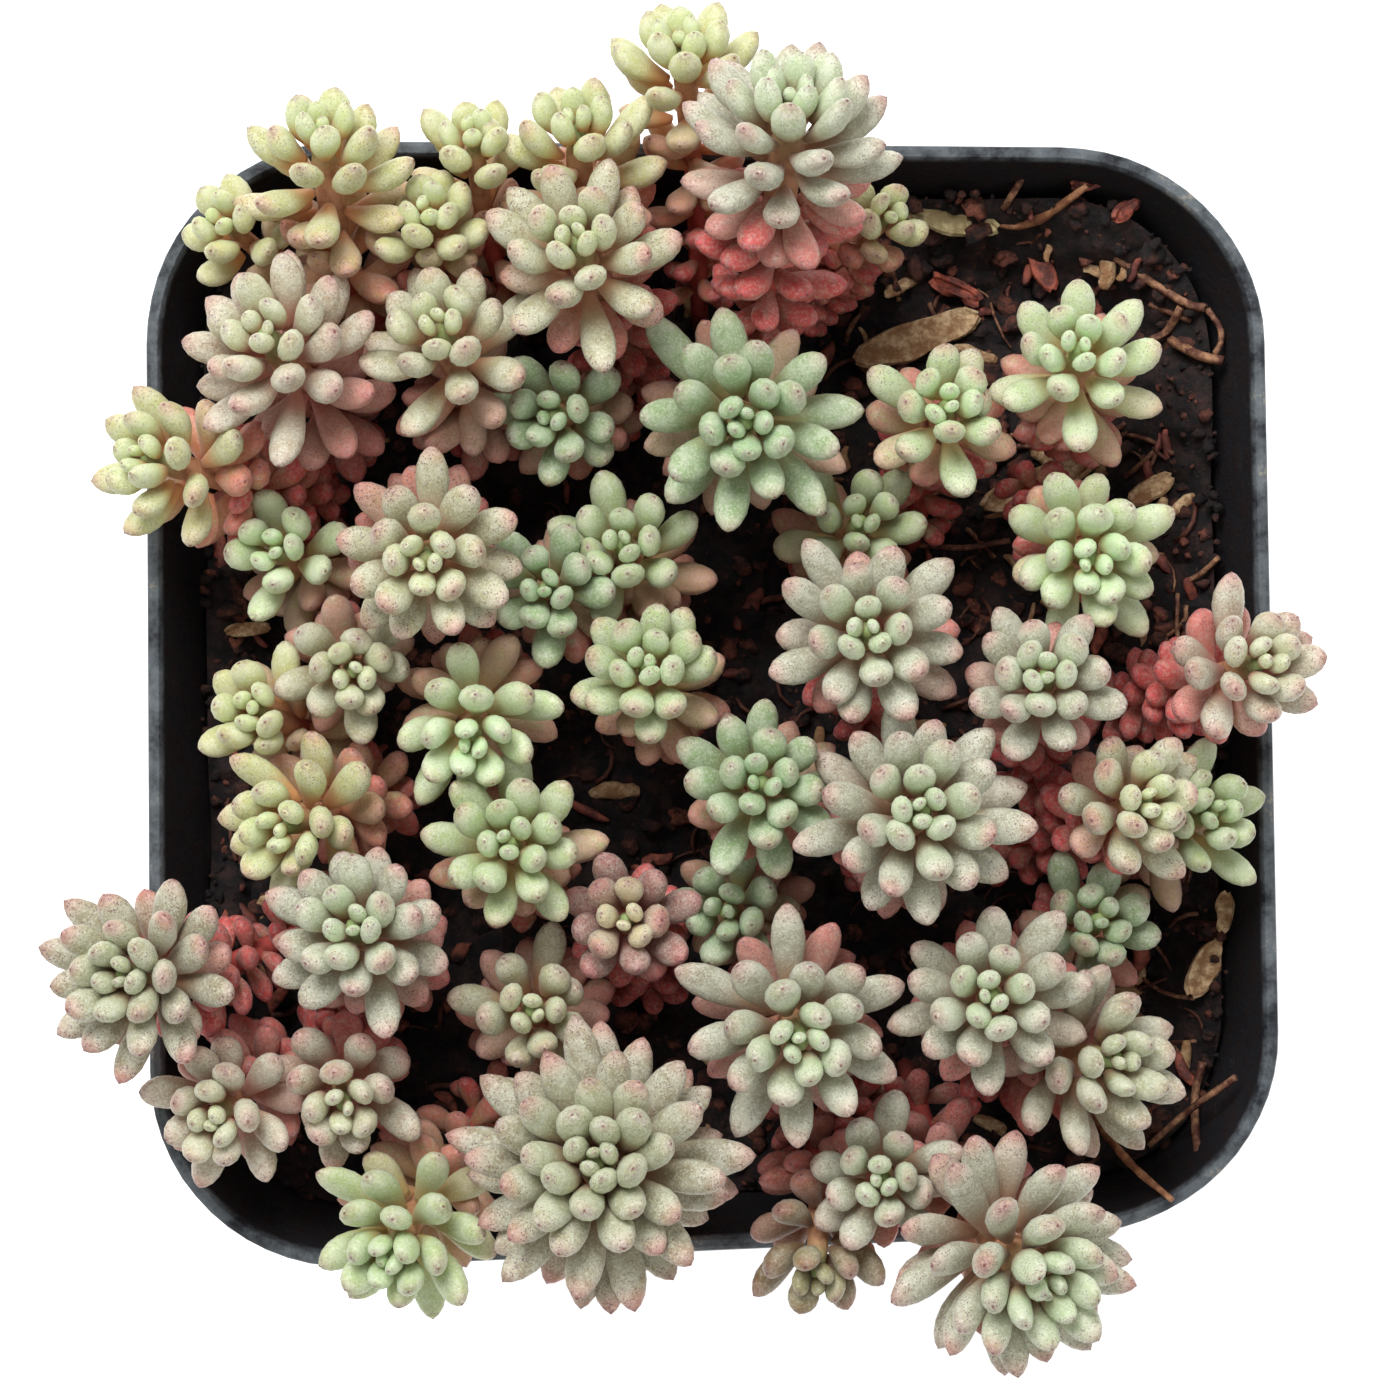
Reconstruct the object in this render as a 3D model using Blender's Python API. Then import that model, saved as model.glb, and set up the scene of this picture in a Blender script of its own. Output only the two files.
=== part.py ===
"""A potted sedum: a square nursery pot filled with soil, and the leafy stems that grow in it.

Every leafy stem is one closed solid. Its core carries a spiral lattice of cells, and each cell is drawn out
into a leaf, so the leaves grow out of the stem with no seam. Sizes are worked out in millimetres and become
metres where a mesh is made. The origin is the middle of the pot's foot, and +Z is up.
"""

import math
import random
from dataclasses import dataclass, field, replace

import bmesh
import bpy
import numpy as np
from mathutils.bvhtree import BVHTree

MM = 0.001
SEED = 7

# Pot: half widths are measured from the middle to the flat sides
POT_HEIGHT = 80.0
RIM_HALF = 42.8
RIM_CORNER = 15.4
RIM_DEPTH_SHARE = 0.985
RIM_TAPER = 0.026
RIM_SKEW = 0.6
RIM_WIDTH = 1.3
COLLAR_DEPTH = 7.0
COLLAR_STEP = 1.2
FOOT_HALF = 32.0
FOOT_CORNER = 10.0
FOOT_EDGE = 1.0
WALL = 1.1
FLOOR = 2.0
CORNER_STEPS = 6
DRAIN_PLACE = 15.0
DRAIN_RADIUS = 4.0
DRAIN_SIDES = 8

# Soil
SOIL_TOP = 67.5
SOIL_RELIEF = 0.9
GAP = 0.3
SOIL_RINGS = (0.3, 0.62, 0.86)
SOIL_BRIM = SOIL_TOP - 1.6 * SOIL_RELIEF

# The eye that the heads are placed from: straight above, at its height over the foot
EYE = np.array((-0.8, -0.2, 430.0))

# Leaf rule: leaves follow each other round the stem by the golden angle, youngest first
GOLDEN = math.radians(137.5)
YOUNG_INCLINE = math.radians(10.0)
OLD_INCLINE = math.radians(82.0)
INCLINE_POWER = 1.3
YOUNG_LENGTH = 0.36
OLD_LENGTH = 0.68
LENGTH_POWER = 0.6
PAST_SHRINK = 0.965
PAST_DROOP = math.radians(1.5)
YOUNG_WIDTH = 1.4
WIDEST_LEAF = 3.4
LEAF_ARCH = 0.22
LEAF_RING = 0.66
LEAF_PLUMP = 0.72
LEAF_FULL = 1.04
BUDS = 5
BUD_HEIGHT = 2.0
HEAD_DEPTH = 0.9
CORE_LEAST = 0.1
CORE_SHARE = 0.17
CORE_FULL = 12.0
YOUNG_CORE = 0.6
COLLAR_SHARE = 0.55

# Widest leaf of a head, by the head's radius, and how far a leaf strays from the rule
WIDTH_LEAST = 2.2
WIDTH_SHARE = 0.1
SWAY = 3.0
STRETCH = 0.06

# Buds at the very tip: how far they rise and lean, their width and their point
BUD_LIFT = 0.7
BUD_LEAN = 0.5
BUD_WIDTH = 0.85
BUD_POINT = 1.35

# The lattice of cells on the core: neighbours are 3 and 5 leaves on, and a cell's corners lie between them
NEAR, FAR = 3, 5
RING = NEAR + FAR
CORNER_TURN = math.radians(10.0)
CORNER_LAG = (NEAR + FAR) / 2

# Stems
STEM_SIDES = 5
STEM_RADIUS = 0.95
STEM_TOP_SHARE = 0.8
STEM_LAG = 2.0
STEM_LEAD = 0.4
STEM_RISE = 0.35
STEM_SINK = 6.0
STEM_EMERGE = 1.0
STEM_REACH = 29.5
STEM_CORNER = 12.0
STEM_APART = 4.6
FOOT_PULL = 0.97
FOOT_ROUNDS = 120
WALL_ROUNDS = 4
RIM_SLACK = 1.9
HOLE_TOP = 3.0

# How a leaf gives way where another stem is in its way: a change of inclination in degrees, and of length
BENDS = (
    (0, 1.0),
    (-8, 0.97),
    (8, 0.97),
    (-16, 0.92),
    (16, 0.92),
    (-25, 0.88),
    (25, 0.85),
    (0, 0.8),
    (-14, 0.75),
    (14, 0.72),
    (-32, 0.75),
    (0, 0.64),
)
THIN_ROUNDS = 14
THIN_SHARE = 0.93
LEAF_MARK = "leaf"
LEAF_CLEAR = 0.3
LEAF_BODY = 0.4
LEAF_ROOT_BODY = 0.8
LEAF_ROOT_END = 0.25
OWN_BODY = 0.6
YOUNG_AGE = 0.45
TIP_BODY = 0.3

# Colours by kind of head
TINTS = {
    "fresh": (0.36, 0.52, 0.24),
    "grey": (0.40, 0.47, 0.33),
    "beige": (0.52, 0.49, 0.32),
    "yellow": (0.52, 0.60, 0.24),
    "pink": (0.55, 0.42, 0.32),
    "blue": (0.33, 0.50, 0.34),
    "coral": (0.60, 0.24, 0.17),
}
LEAF_ROUGHNESS = 0.55
POT_COLOUR = (0.02, 0.022, 0.028)
POT_ROUGHNESS = 0.45
SOIL_COLOUR = (0.03, 0.02, 0.014)
SOIL_ROUGHNESS = 0.95
TWIG_COLOUR = (0.25, 0.15, 0.09)
ROOT_COLOUR = (0.3, 0.17, 0.1)
CHIP_COLOUR = (0.4, 0.33, 0.2)
HUSK_COLOUR = (0.4, 0.3, 0.2)
LITTER_ROUGHNESS = 0.8

# Heads: place of the growing tip as seen from the eye in the plane of the rim, radius, leaves, older leaves
# under them, height of the tip over the foot, lean in degrees, direction of the lean in degrees, tint
HEADS = (
    (-29.1, 45.3, 7.3, 20, 4, 93, 46, 95, "yellow"),
    (-37.3, 37.8, 4.6, 10, 0, 88, 32, 140, "yellow"),
    (-20.8, 38.5, 4.9, 13, 2, 91, 28, 90, "yellow"),
    (-34.0, 29.2, 8.6, 27, 2, 96, 24, 125, "grey"),
    (-20.5, 29.7, 7.6, 21, 2, 94, 26, 110, "beige"),
    (-44.1, 19.5, 6.8, 19, 3, 92, 40, 165, "yellow"),
    (-17.2, 45.2, 4.6, 11, 0, 90, 48, 95, "yellow"),
    (-8.9, 46.5, 6.3, 16, 1, 92, 52, 92, "fresh"),
    (-9.8, 35.8, 8.3, 27, 8, 98, 18, 110, "beige"),
    (7.4, 46.9, 9.0, 33, 12, 100, 42, 82, "blue"),
    (-1.5, 52.4, 5.8, 12, 0, 90, 58, 95, "yellow"),
    (-12.0, 21.6, 5.9, 18, 1, 89, 12, 200, "blue"),
    (3.1, 20.9, 9.6, 32, 0, 95, 5, 270, "fresh"),
    (15.2, 37.1, 3.4, 8, 6, 82, 30, 40, "pink"),
    (28.6, 26.6, 7.3, 20, 2, 91, 15, 100, "fresh"),
    (18.7, 22.5, 6.6, 18, 7, 91, 12, 80, "beige"),
    (-33.5, 12.2, 5.9, 16, 0, 87, 15, 150, "yellow"),
    (-21.6, 10.7, 7.9, 27, 2, 97, 6, 270, "beige"),
    (-27.1, 2.1, 5.6, 15, 0, 90, 10, 300, "blue"),
    (-35.7, 0.2, 5.6, 13, 0, 89, 22, 150, "yellow"),
    (-33.8, -9.7, 6.8, 20, 3, 92, 26, 200, "beige"),
    (-27.8, -16.5, 7.6, 29, 2, 96, 14, 110, "grey"),
    (-18.3, -3.6, 7.0, 20, 0, 92, 20, 270, "beige"),
    (-46.2, -20.2, 8.3, 32, 2, 95, 22, 165, "pink"),
    (-40.5, -33.6, 6.3, 17, 2, 91, 28, 225, "pink"),
    (-28.6, -31.1, 6.6, 20, 2, 91, 14, 280, "pink"),
    (-26.4, -43.8, 7.0, 19, 3, 93, 40, 235, "fresh"),
    (-12.7, 8.8, 5.8, 18, 0, 90, 8, 160, "blue"),
    (-6.7, 12.4, 6.9, 15, 0, 89, 14, 110, "fresh"),
    (-5.0, 3.1, 6.5, 23, 0, 93, 15, 105, "beige"),
    (12.2, 5.1, 8.5, 28, 5, 97, 5, 100, "grey"),
    (12.2, 13.9, 5.5, 11, 0, 85, 12, 60, "fresh"),
    (3.8, -6.3, 7.4, 26, 0, 94, 8, 90, "fresh"),
    (16.2, -8.7, 9.7, 33, 4, 99, 8, 60, "grey"),
    (-15.6, -10.5, 7.0, 24, 0, 93, 9, 100, "fresh"),
    (-6.8, -16.6, 5.2, 20, 2, 90, 8, 100, "coral"),
    (0.4, -16.5, 4.8, 11, 0, 86, 12, 180, "fresh"),
    (29.2, 9.3, 7.1, 18, 3, 91, 15, 280, "fresh"),
    (25.6, 1.7, 6.6, 24, 6, 96, 14, 95, "grey"),
    (43.9, 2.3, 7.5, 19, 6, 93, 32, 25, "pink"),
    (33.9, -8.1, 6.3, 20, 6, 93, 22, 30, "pink"),
    (39.1, -9.3, 6.6, 14, 0, 88, 25, 20, "fresh"),
    (29.7, -17.1, 6.0, 14, 3, 86, 14, 60, "fresh"),
    (21.0, -23.0, 8.0, 27, 2, 96, 8, 110, "grey"),
    (32.8, -28.3, 8.2, 20, 0, 91, 44, 5, "fresh"),
    (25.4, -46.2, 9.8, 30, 3, 97, 30, 320, "beige"),
    (-14.0, -23.6, 7.6, 18, 1, 90, 4, 90, "beige"),
    (-9.5, -34.5, 11.6, 56, 5, 100, 12, 100, "grey"),
    (6.4, -26.8, 9.6, 32, 0, 97, 8, 280, "grey"),
    (12.3, -37.0, 6.6, 20, 2, 92, 5, 330, "grey"),
    (7.2, -45.5, 5.6, 13, 1, 89, 40, 265, "yellow"),
)

# Loose bits on the soil: rods by their places as seen from the eye in the plane of the rim and their heights,
# flat bits by where they lie, their length, width and thickness, their turn in degrees and how deep they sink
TWIG_PLACES = ((22.8, 35.2, 67.4), (26.0, 36.0, 71.5), (28.9, 37.4, 75.5))
TWIG_RADIUS = 0.55
ROD_SIDES = 5
ROOT_PLACES = ((27.4, -31.0, 68.5), (30.5, -35.0, 76.0), (33.2, -37.6, 80.7))
ROOT_RADIUS = 0.45
CHIP_OUTLINE = ((-0.5, -0.2), (-0.1, -0.5), (0.45, -0.35), (0.5, 0.25), (0.05, 0.5), (-0.45, 0.3))
CHIP_BEVEL = ((0.0, 0.85), (0.5, 1.0), (1.0, 0.8))
CHIP = ((25.3, 16.9), (7.4, 2.0, 0.9), 22.0, 0.1)
HUSK = ((16.2, 27.0), (9.0, 2.4, 1.0), 14.0, 0.9)


def unit(vector):
    """The vector at length 1."""
    return vector / np.linalg.norm(vector)


@dataclass
class Leaf:
    """One leaf: its root on the core, the frame it grows in, and its size."""

    order: int
    root: np.ndarray
    out: np.ndarray
    up: np.ndarray
    side: np.ndarray
    incline: float
    length: float
    width: float

    def bent(self, degrees, share):
        """The same leaf, raised or lowered and shortened."""
        incline = self.incline + math.radians(degrees)
        return replace(self, incline=incline, length=self.length * share, width=self.width * math.sqrt(share))

    def heading(self):
        """The direction that the leaf grows in."""
        return math.sin(self.incline) * self.out + math.cos(self.incline) * self.up

    def back(self):
        """The direction that the leaf's outer side faces."""
        return math.cos(self.incline) * self.out - math.sin(self.incline) * self.up

    def point(self, share):
        """A point of the leaf's middle line, which arches a little to its outer side."""
        arch = LEAF_ARCH * share * (1 - share)
        return self.root + self.length * (share * self.heading() + arch * self.back())


@dataclass
class Head:
    """A leafy stem: the frame at its growing tip, its leaves and the line of its stem."""

    name: str
    radius: float
    count: int
    older: int
    tint: str
    tip: np.ndarray
    axis: np.ndarray
    across: np.ndarray
    over: np.ndarray
    start: float
    leaves: list = field(default_factory=list)
    foot: np.ndarray = None
    stem: list = field(default_factory=list)

    def core_radius(self):
        """The full radius of the core under the leaves."""
        return CORE_LEAST + CORE_SHARE * self.radius

    def foot_turn(self):
        """The turn of the stem's section where it stands in the soil."""
        return math.atan2(self.across[1], self.across[0])

    def ray(self, turn):
        """The direction out of the stem at a turn round its axis."""
        return math.cos(turn) * self.across + math.sin(turn) * self.over

    def on_core(self, order, turn):
        """A point of the core's surface, by its order down the spiral and its turn round the axis."""
        swell = self.core_radius() * min(1.0, YOUNG_CORE + (1 - YOUNG_CORE) * order / CORE_FULL)
        drop = HEAD_DEPTH * self.radius * order / self.count
        return self.tip - self.axis * drop + self.ray(turn) * swell

    def below(self, order):
        """A point of the head's axis, by its order down the spiral."""
        return self.tip - self.axis * (HEAD_DEPTH * self.radius * order / self.count)


def outline_distance(x, y, half, corner):
    """How far a point lies outside a square with round corners; negative inside."""
    reach_x = abs(x) - (half - corner)
    reach_y = abs(y) - (half - corner)
    outside = math.hypot(max(reach_x, 0.0), max(reach_y, 0.0))
    return outside + min(max(reach_x, reach_y), 0.0) - corner


def outline(half, corner):
    """The points of a square with round corners, counter-clockwise."""
    points = []
    middle = half - corner
    for quarter in range(4):
        start = quarter * math.pi / 2
        cx = middle * (1 if quarter in (0, 3) else -1)
        cy = middle * (1 if quarter in (0, 1) else -1)
        for step in range(CORNER_STEPS + 1):
            turn = start + step * math.pi / 2 / CORNER_STEPS
            points.append((cx + corner * math.cos(turn), cy + corner * math.sin(turn)))
    return points


def out_of_square(x, y, z):
    """A point of the pot or the soil after the soft pot has given way a little, most at its rim."""
    give = z / POT_HEIGHT
    across = x / RIM_HALF
    deep = 1 + give * (RIM_DEPTH_SHARE - 1 - RIM_TAPER * across)
    return (x + give * RIM_SKEW / 2 * (1 - across) * y / RIM_HALF, y * deep, z)


def wall_half(height):
    """The half width of the pot's tapered body at a height."""
    return FOOT_HALF + (RIM_HALF - COLLAR_STEP - FOOT_HALF) * height / POT_HEIGHT


def wall_corner(height):
    """The corner radius of the pot's tapered body at a height."""
    return FOOT_CORNER + (RIM_CORNER - COLLAR_STEP - FOOT_CORNER) * height / POT_HEIGHT


def soil_height(x, y):
    """The soil's uneven top, by a formula."""
    wave = math.sin(0.31 * x + 1.3) * math.cos(0.27 * y - 0.4) + 0.6 * math.sin(0.53 * y + 0.22 * x)
    return SOIL_TOP + SOIL_RELIEF * wave


def place_seen(x, y, height):
    """The true place of a point that is seen at x, y in the plane of the rim."""
    share = (EYE[2] - height) / (EYE[2] - POT_HEIGHT)
    return np.array((EYE[0] + (x - EYE[0]) * share, EYE[1] + (y - EYE[1]) * share, height))


def head_from_row(number, row):
    """The head that a row of the table describes, with its leaves grown by the spiral rule."""
    draw = random.Random(SEED * 1000 + number)
    start = draw.uniform(0.0, 2 * math.pi)
    x, y, radius, count, older, height, lean, toward, tint = row
    lean, toward = math.radians(lean), math.radians(toward)
    axis = np.array((math.sin(lean) * math.cos(toward), math.sin(lean) * math.sin(toward), math.cos(lean)))
    across = unit(np.cross(axis, np.array((-math.sin(toward), math.cos(toward), 0.0))))
    share = (EYE[2] - height) / (EYE[2] - POT_HEIGHT)
    tip = place_seen(x, y, height) - axis * BUD_HEIGHT
    over = np.cross(axis, across)
    name = f"rosette_{number:02d}"
    head = Head(name, radius * share, count, older, tint, tip, axis, across, over, start)
    grow_leaves(head, draw)
    return head


def grow_leaves(head, draw):
    """Fills the head with leaves by the spiral rule."""
    widest = min(WIDEST_LEAF, WIDTH_LEAST + WIDTH_SHARE * head.radius)
    reach = head.radius - head.core_radius()
    for order in range(head.count + head.older):
        age = (order + 0.5) / head.count
        grown = min(1.0, age)
        past = max(0.0, order + 1 - head.count)
        spread = grown * grown * (3 - 2 * grown)
        turn = head.start + order * GOLDEN
        sway = math.radians(draw.uniform(-SWAY, SWAY))
        nod = math.radians(draw.uniform(-SWAY, SWAY))
        stretch = draw.uniform(1 - STRETCH, 1 + STRETCH)
        if order < BUDS:
            continue
        length = reach * (YOUNG_LENGTH + OLD_LENGTH * spread**LENGTH_POWER) * stretch * PAST_SHRINK**past
        width = YOUNG_WIDTH + (widest - YOUNG_WIDTH) * spread
        ray = head.ray(turn + sway)
        side = np.cross(head.axis, ray)
        root = head.on_core(order, turn)
        incline = YOUNG_INCLINE + OLD_INCLINE * spread**INCLINE_POWER + PAST_DROOP * past + nod
        head.leaves.append(Leaf(order, root, ray, head.axis, side, incline, length, width))


def settle_feet(heads):
    """Where the stems stand in the soil: under their heads, inside the pot and apart from each other."""
    feet = []
    for head in heads:
        base = head.below(head.count + head.older)
        feet.append(base[:2] * FOOT_PULL)
    for _ in range(FOOT_ROUNDS):
        for i, foot in enumerate(feet):
            for other in feet[:i]:
                apart = foot - other
                distance = max(np.linalg.norm(apart), 1e-6)
                if distance < STEM_APART:
                    push = apart / distance * (STEM_APART - distance) / 2
                    foot += push
                    other -= push
        for foot in feet:
            for _ in range(WALL_ROUNDS):
                over = outline_distance(foot[0], foot[1], STEM_REACH, STEM_CORNER)
                if over > 0:
                    foot *= 1 - over / np.linalg.norm(foot)
    for head, foot in zip(heads, feet):
        head.foot = np.array((*foot, soil_height(*foot) + STEM_EMERGE))


def lay_stem(head):
    """The stem's line from under the leaves down into the soil, as the middles of its rings."""
    top = head.below(head.count + head.older + CORNER_LAG + STEM_LAG)
    length = np.linalg.norm(top - head.foot)
    lead = top - head.axis * length * STEM_LEAD
    rise = head.foot + np.array((0.0, 0.0, length * STEM_RISE))
    middle = (top + 3 * lead + 3 * rise + head.foot) / 8
    bottom = np.array((head.foot[0], head.foot[1], SOIL_TOP - STEM_SINK))
    head.stem = [top, middle, head.foot, bottom]


def segment_distances(start, end, starts, ends):
    """The distances from one segment to many."""
    along, others = end - start, ends - starts
    between = start - starts
    a = along @ along
    e = np.einsum("ij,ij->i", others, others)
    f = np.einsum("ij,ij->i", others, between)
    c = between @ along
    b = others @ along
    spread = np.maximum(a * e - b * b, 1e-9)
    s = np.clip((b * f - c * e) / spread, 0.0, 1.0)
    t = np.clip((b * s + f) / np.maximum(e, 1e-9), 0.0, 1.0)
    s = np.clip((b * t - c) / max(a, 1e-9), 0.0, 1.0)
    gap = between + s[:, None] * along - t[:, None] * others
    return np.linalg.norm(gap, axis=1)


class Crowd:
    """The segments, each with its thickness and its head, that a new leaf has to stay clear of."""

    def __init__(self):
        self.rows = []

    def add(self, start, end, radius, owner):
        """Takes a segment in."""
        self.rows.append((*start, *end, radius, owner))

    def meets(self, start, end, radius, owner):
        """Whether a segment comes too near another head's."""
        table = np.array(self.rows)
        table = table[table[:, 7] != owner]
        gaps = segment_distances(start, end, table[:, 0:3], table[:, 3:6]) - table[:, 6] - radius
        return bool((gaps < LEAF_CLEAR).any())

    def meets_own(self, start, end, radius, owner):
        """Whether a bent leaf would cross a leaf of its own head."""
        table = np.array(self.rows)
        table = table[table[:, 7] == owner]
        bodies = (table[:, 6] + radius) * OWN_BODY
        gaps = segment_distances(start, end, table[:, 0:3], table[:, 3:6]) - bodies
        return bool((gaps < 0.0).any())


def meets_pot(point, radius):
    """Whether a ball touches the pot's wall or the soil."""
    x, y, z = point
    if z > POT_HEIGHT + radius + LEAF_CLEAR:
        return False
    outside = outline_distance(x, y, RIM_HALF + RIM_SKEW, RIM_CORNER) > radius + LEAF_CLEAR
    inner = wall_half(z) - WALL - RIM_SLACK
    inside = outline_distance(x, y, inner, wall_corner(z)) < -radius - LEAF_CLEAR
    if inside:
        return z < soil_height(x, y) + radius + LEAF_CLEAR
    return not outside


def clear_leaves(heads):
    """Bends, shortens or drops the leaves that would cross another stem, the pot or the soil."""
    crowd = Crowd()
    for owner, head in enumerate(heads):
        crowd.add(head.tip, head.stem[0], head.core_radius(), owner)
        for start, end in zip(head.stem, head.stem[1:]):
            crowd.add(start, end, STEM_RADIUS, owner)
    for owner, head in enumerate(heads):
        bud = head.tip + head.axis * BUD_HEIGHT / 2
        crowd.add(head.tip, bud, head.core_radius() + TIP_BODY, owner)
    turns = []
    for owner, head in enumerate(heads):
        for leaf in head.leaves:
            turns.append((leaf.order >= YOUNG_AGE * head.count, -head.tip[2], owner, leaf.order))
    kept = {owner: [] for owner in range(len(heads))}
    for _, _, owner, order in sorted(turns):
        leaf = heads[owner].leaves[order - BUDS]
        for degrees, share in BENDS:
            bent = leaf.bent(degrees, share)
            radius = LEAF_BODY * bent.width
            slim = radius * LEAF_ROOT_BODY
            start = bent.point(LEAF_ROOT_END)
            middle = bent.point(LEAF_RING)
            end = bent.point(1.0) - bent.heading() * radius
            if any(meets_pot(point, radius) for point in (start, middle, end)):
                continue
            if crowd.meets(start, middle, slim, owner) or crowd.meets(middle, end, radius, owner):
                continue
            if degrees and crowd.meets_own(middle, end, radius, owner):
                continue
            crowd.add(start, middle, slim, owner)
            crowd.add(middle, end, radius, owner)
            kept[owner].append(bent)
            break
    for owner, head in enumerate(heads):
        head.leaves = sorted(kept[owner], key=lambda leaf: leaf.order)


def paint(obj, name, colour, roughness):
    """Gives an object its own Principled material."""
    material = bpy.data.materials.new(name)
    material.use_nodes = True
    shader = material.node_tree.nodes["Principled BSDF"]
    shader.inputs["Base Color"].default_value = (*colour, 1.0)
    shader.inputs["Roughness"].default_value = roughness
    shader.inputs["Metallic"].default_value = 0.0
    obj.data.materials.append(material)


def new_object(name, mesh_maker, colour, roughness, smooth=True):
    """An object from a bmesh that mesh_maker fills in millimetres."""
    shape = bmesh.new()
    mesh_maker(shape)
    bmesh.ops.scale(shape, vec=(MM, MM, MM), verts=shape.verts)
    bmesh.ops.recalc_face_normals(shape, faces=shape.faces)
    mesh = bpy.data.meshes.new(name)
    shape.to_mesh(mesh)
    shape.free()
    if smooth:
        mesh.shade_smooth()
        mesh.set_sharp_from_angle(angle=math.radians(40))
    obj = bpy.data.objects.new(name, mesh)
    bpy.context.scene.collection.objects.link(obj)
    paint(obj, name, colour, roughness)
    return obj


def bridge(shape, upper, lower):
    """Joins two closed rings of vertices, which may differ in number, by walking both round together."""
    high, low = len(upper), len(lower)
    i = j = 0
    while i < high or j < low:
        if j >= low or (i < high and (i + 1) * low <= (j + 1) * high):
            shape.faces.new((upper[i % high], upper[(i + 1) % high], lower[j % low]))
            i += 1
        else:
            shape.faces.new((upper[i % high], lower[(j + 1) % low], lower[j % low]))
            j += 1


def loft(shape, rings, split=False):
    """Joins rings of equal number and returns their vertices. Split quads all have the same diagonal."""
    made = [[shape.verts.new(point) for point in ring] for ring in rings]
    for first, second in zip(made, made[1:]):
        size = len(first)
        for k in range(size):
            quad = (first[k], first[(k + 1) % size], second[(k + 1) % size], second[k])
            if split:
                shape.faces.new(quad[:3])
                shape.faces.new((quad[0], quad[2], quad[3]))
            else:
                shape.faces.new(quad)
    return made


def raise_leaf(shape, corners, leaf):
    """Draws a cell of the core out into a leaf: a ring at its widest place, then the tip."""
    middle = leaf.point(LEAF_RING)
    half_width = leaf.side * leaf.width * LEAF_FULL / 2
    half_depth = leaf.back() * leaf.width * LEAF_PLUMP * LEAF_FULL / 2
    upper, left, lower, right = corners
    ring = [
        shape.verts.new(middle - half_depth),
        shape.verts.new(middle - half_width),
        shape.verts.new(middle + half_depth),
        shape.verts.new(middle + half_width),
    ]
    tip = shape.verts.new(leaf.point(1.0))
    cell = (upper, left, lower, right)
    mark = shape.faces.layers.int[LEAF_MARK]
    for k in range(4):
        side = shape.faces.new((cell[k], cell[(k + 1) % 4], ring[(k + 1) % 4], ring[k]))
        point = shape.faces.new((ring[k], ring[(k + 1) % 4], tip))
        side[mark] = point[mark] = leaf.order


def raise_bud(shape, head, cell):
    """Draws a cell at the very tip up into a small young leaf."""
    middle = sum((np.array(vert.co) for vert in cell), np.zeros(3)) / 4
    lean = middle - head.tip
    lean = lean - head.axis * (lean @ head.axis)
    lift = head.axis * BUD_HEIGHT * BUD_LIFT + lean * BUD_LEAN
    ring = []
    for vert in cell:
        arm = np.array(vert.co) - middle
        arm = arm - head.axis * (arm @ head.axis)
        ring.append(shape.verts.new(middle + lift + arm * BUD_WIDTH))
    tip = shape.verts.new(middle + lift * BUD_POINT)
    for k in range(4):
        shape.faces.new((cell[k], cell[(k + 1) % 4], ring[(k + 1) % 4], ring[k]))
        shape.faces.new((ring[k], ring[(k + 1) % 4], tip))


def crossing_leaves(shape):
    """The leaves, by their order, that cross another face of the same solid."""
    shape.faces.ensure_lookup_table()
    tree = BVHTree.FromBMesh(shape, epsilon=0.0)
    mark = shape.faces.layers.int[LEAF_MARK]
    found = set()
    for a, b in tree.overlap(tree):
        first, second = shape.faces[a], shape.faces[b]
        if not set(first.verts) & set(second.verts):
            found |= {first[mark], second[mark]}
    return found


def thin_leaves(head):
    """Makes the leaves of a head narrower where they would cross each other."""
    for _ in range(THIN_ROUNDS):
        shape = bmesh.new()
        head_mesh(shape, head)
        crossing = crossing_leaves(shape)
        shape.free()
        if not crossing:
            return
        for leaf in head.leaves:
            if leaf.order in crossing:
                leaf.width *= THIN_SHARE


def head_mesh(shape, head):
    """The closed solid of a leafy stem, in triangles."""
    shape.faces.layers.int.new(LEAF_MARK)
    cells = head.count + head.older - BUDS
    corner = {}
    for j in range(-RING, cells):
        order = j + BUDS + CORNER_LAG
        turn = head.start + (j + BUDS) * GOLDEN + CORNER_TURN
        corner[j] = shape.verts.new(head.on_core(order, turn))
    grown = {leaf.order: leaf for leaf in head.leaves}
    for i in range(cells):
        quad = (corner[i - RING], corner[i - NEAR], corner[i], corner[i - FAR])
        leaf = grown.get(i + BUDS)
        if leaf:
            raise_leaf(shape, quad, leaf)
        else:
            shape.faces.new(quad)
    top = []
    for k in range(RING):
        j = -RING + (k * FAR) % RING
        turn = head.start + (j + BUDS) * GOLDEN + CORNER_TURN
        top.append(shape.verts.new(head.tip + head.ray(turn) * head.core_radius() * COLLAR_SHARE))
    for k in range(RING):
        j, after = -RING + (k * FAR) % RING, -RING + ((k + 1) * FAR) % RING
        shape.faces.new((corner[j], corner[after], top[(k + 1) % RING], top[k]))
    for quad in (top[0:4], (top[0], top[3], top[4], top[7]), top[4:8]):
        raise_bud(shape, head, quad)
    low = [corner[cells - RING + (k * FAR) % RING] for k in range(RING)]
    stem_mesh(shape, head, low)
    bmesh.ops.triangulate(shape, faces=shape.faces, quad_method="BEAUTY")


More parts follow.
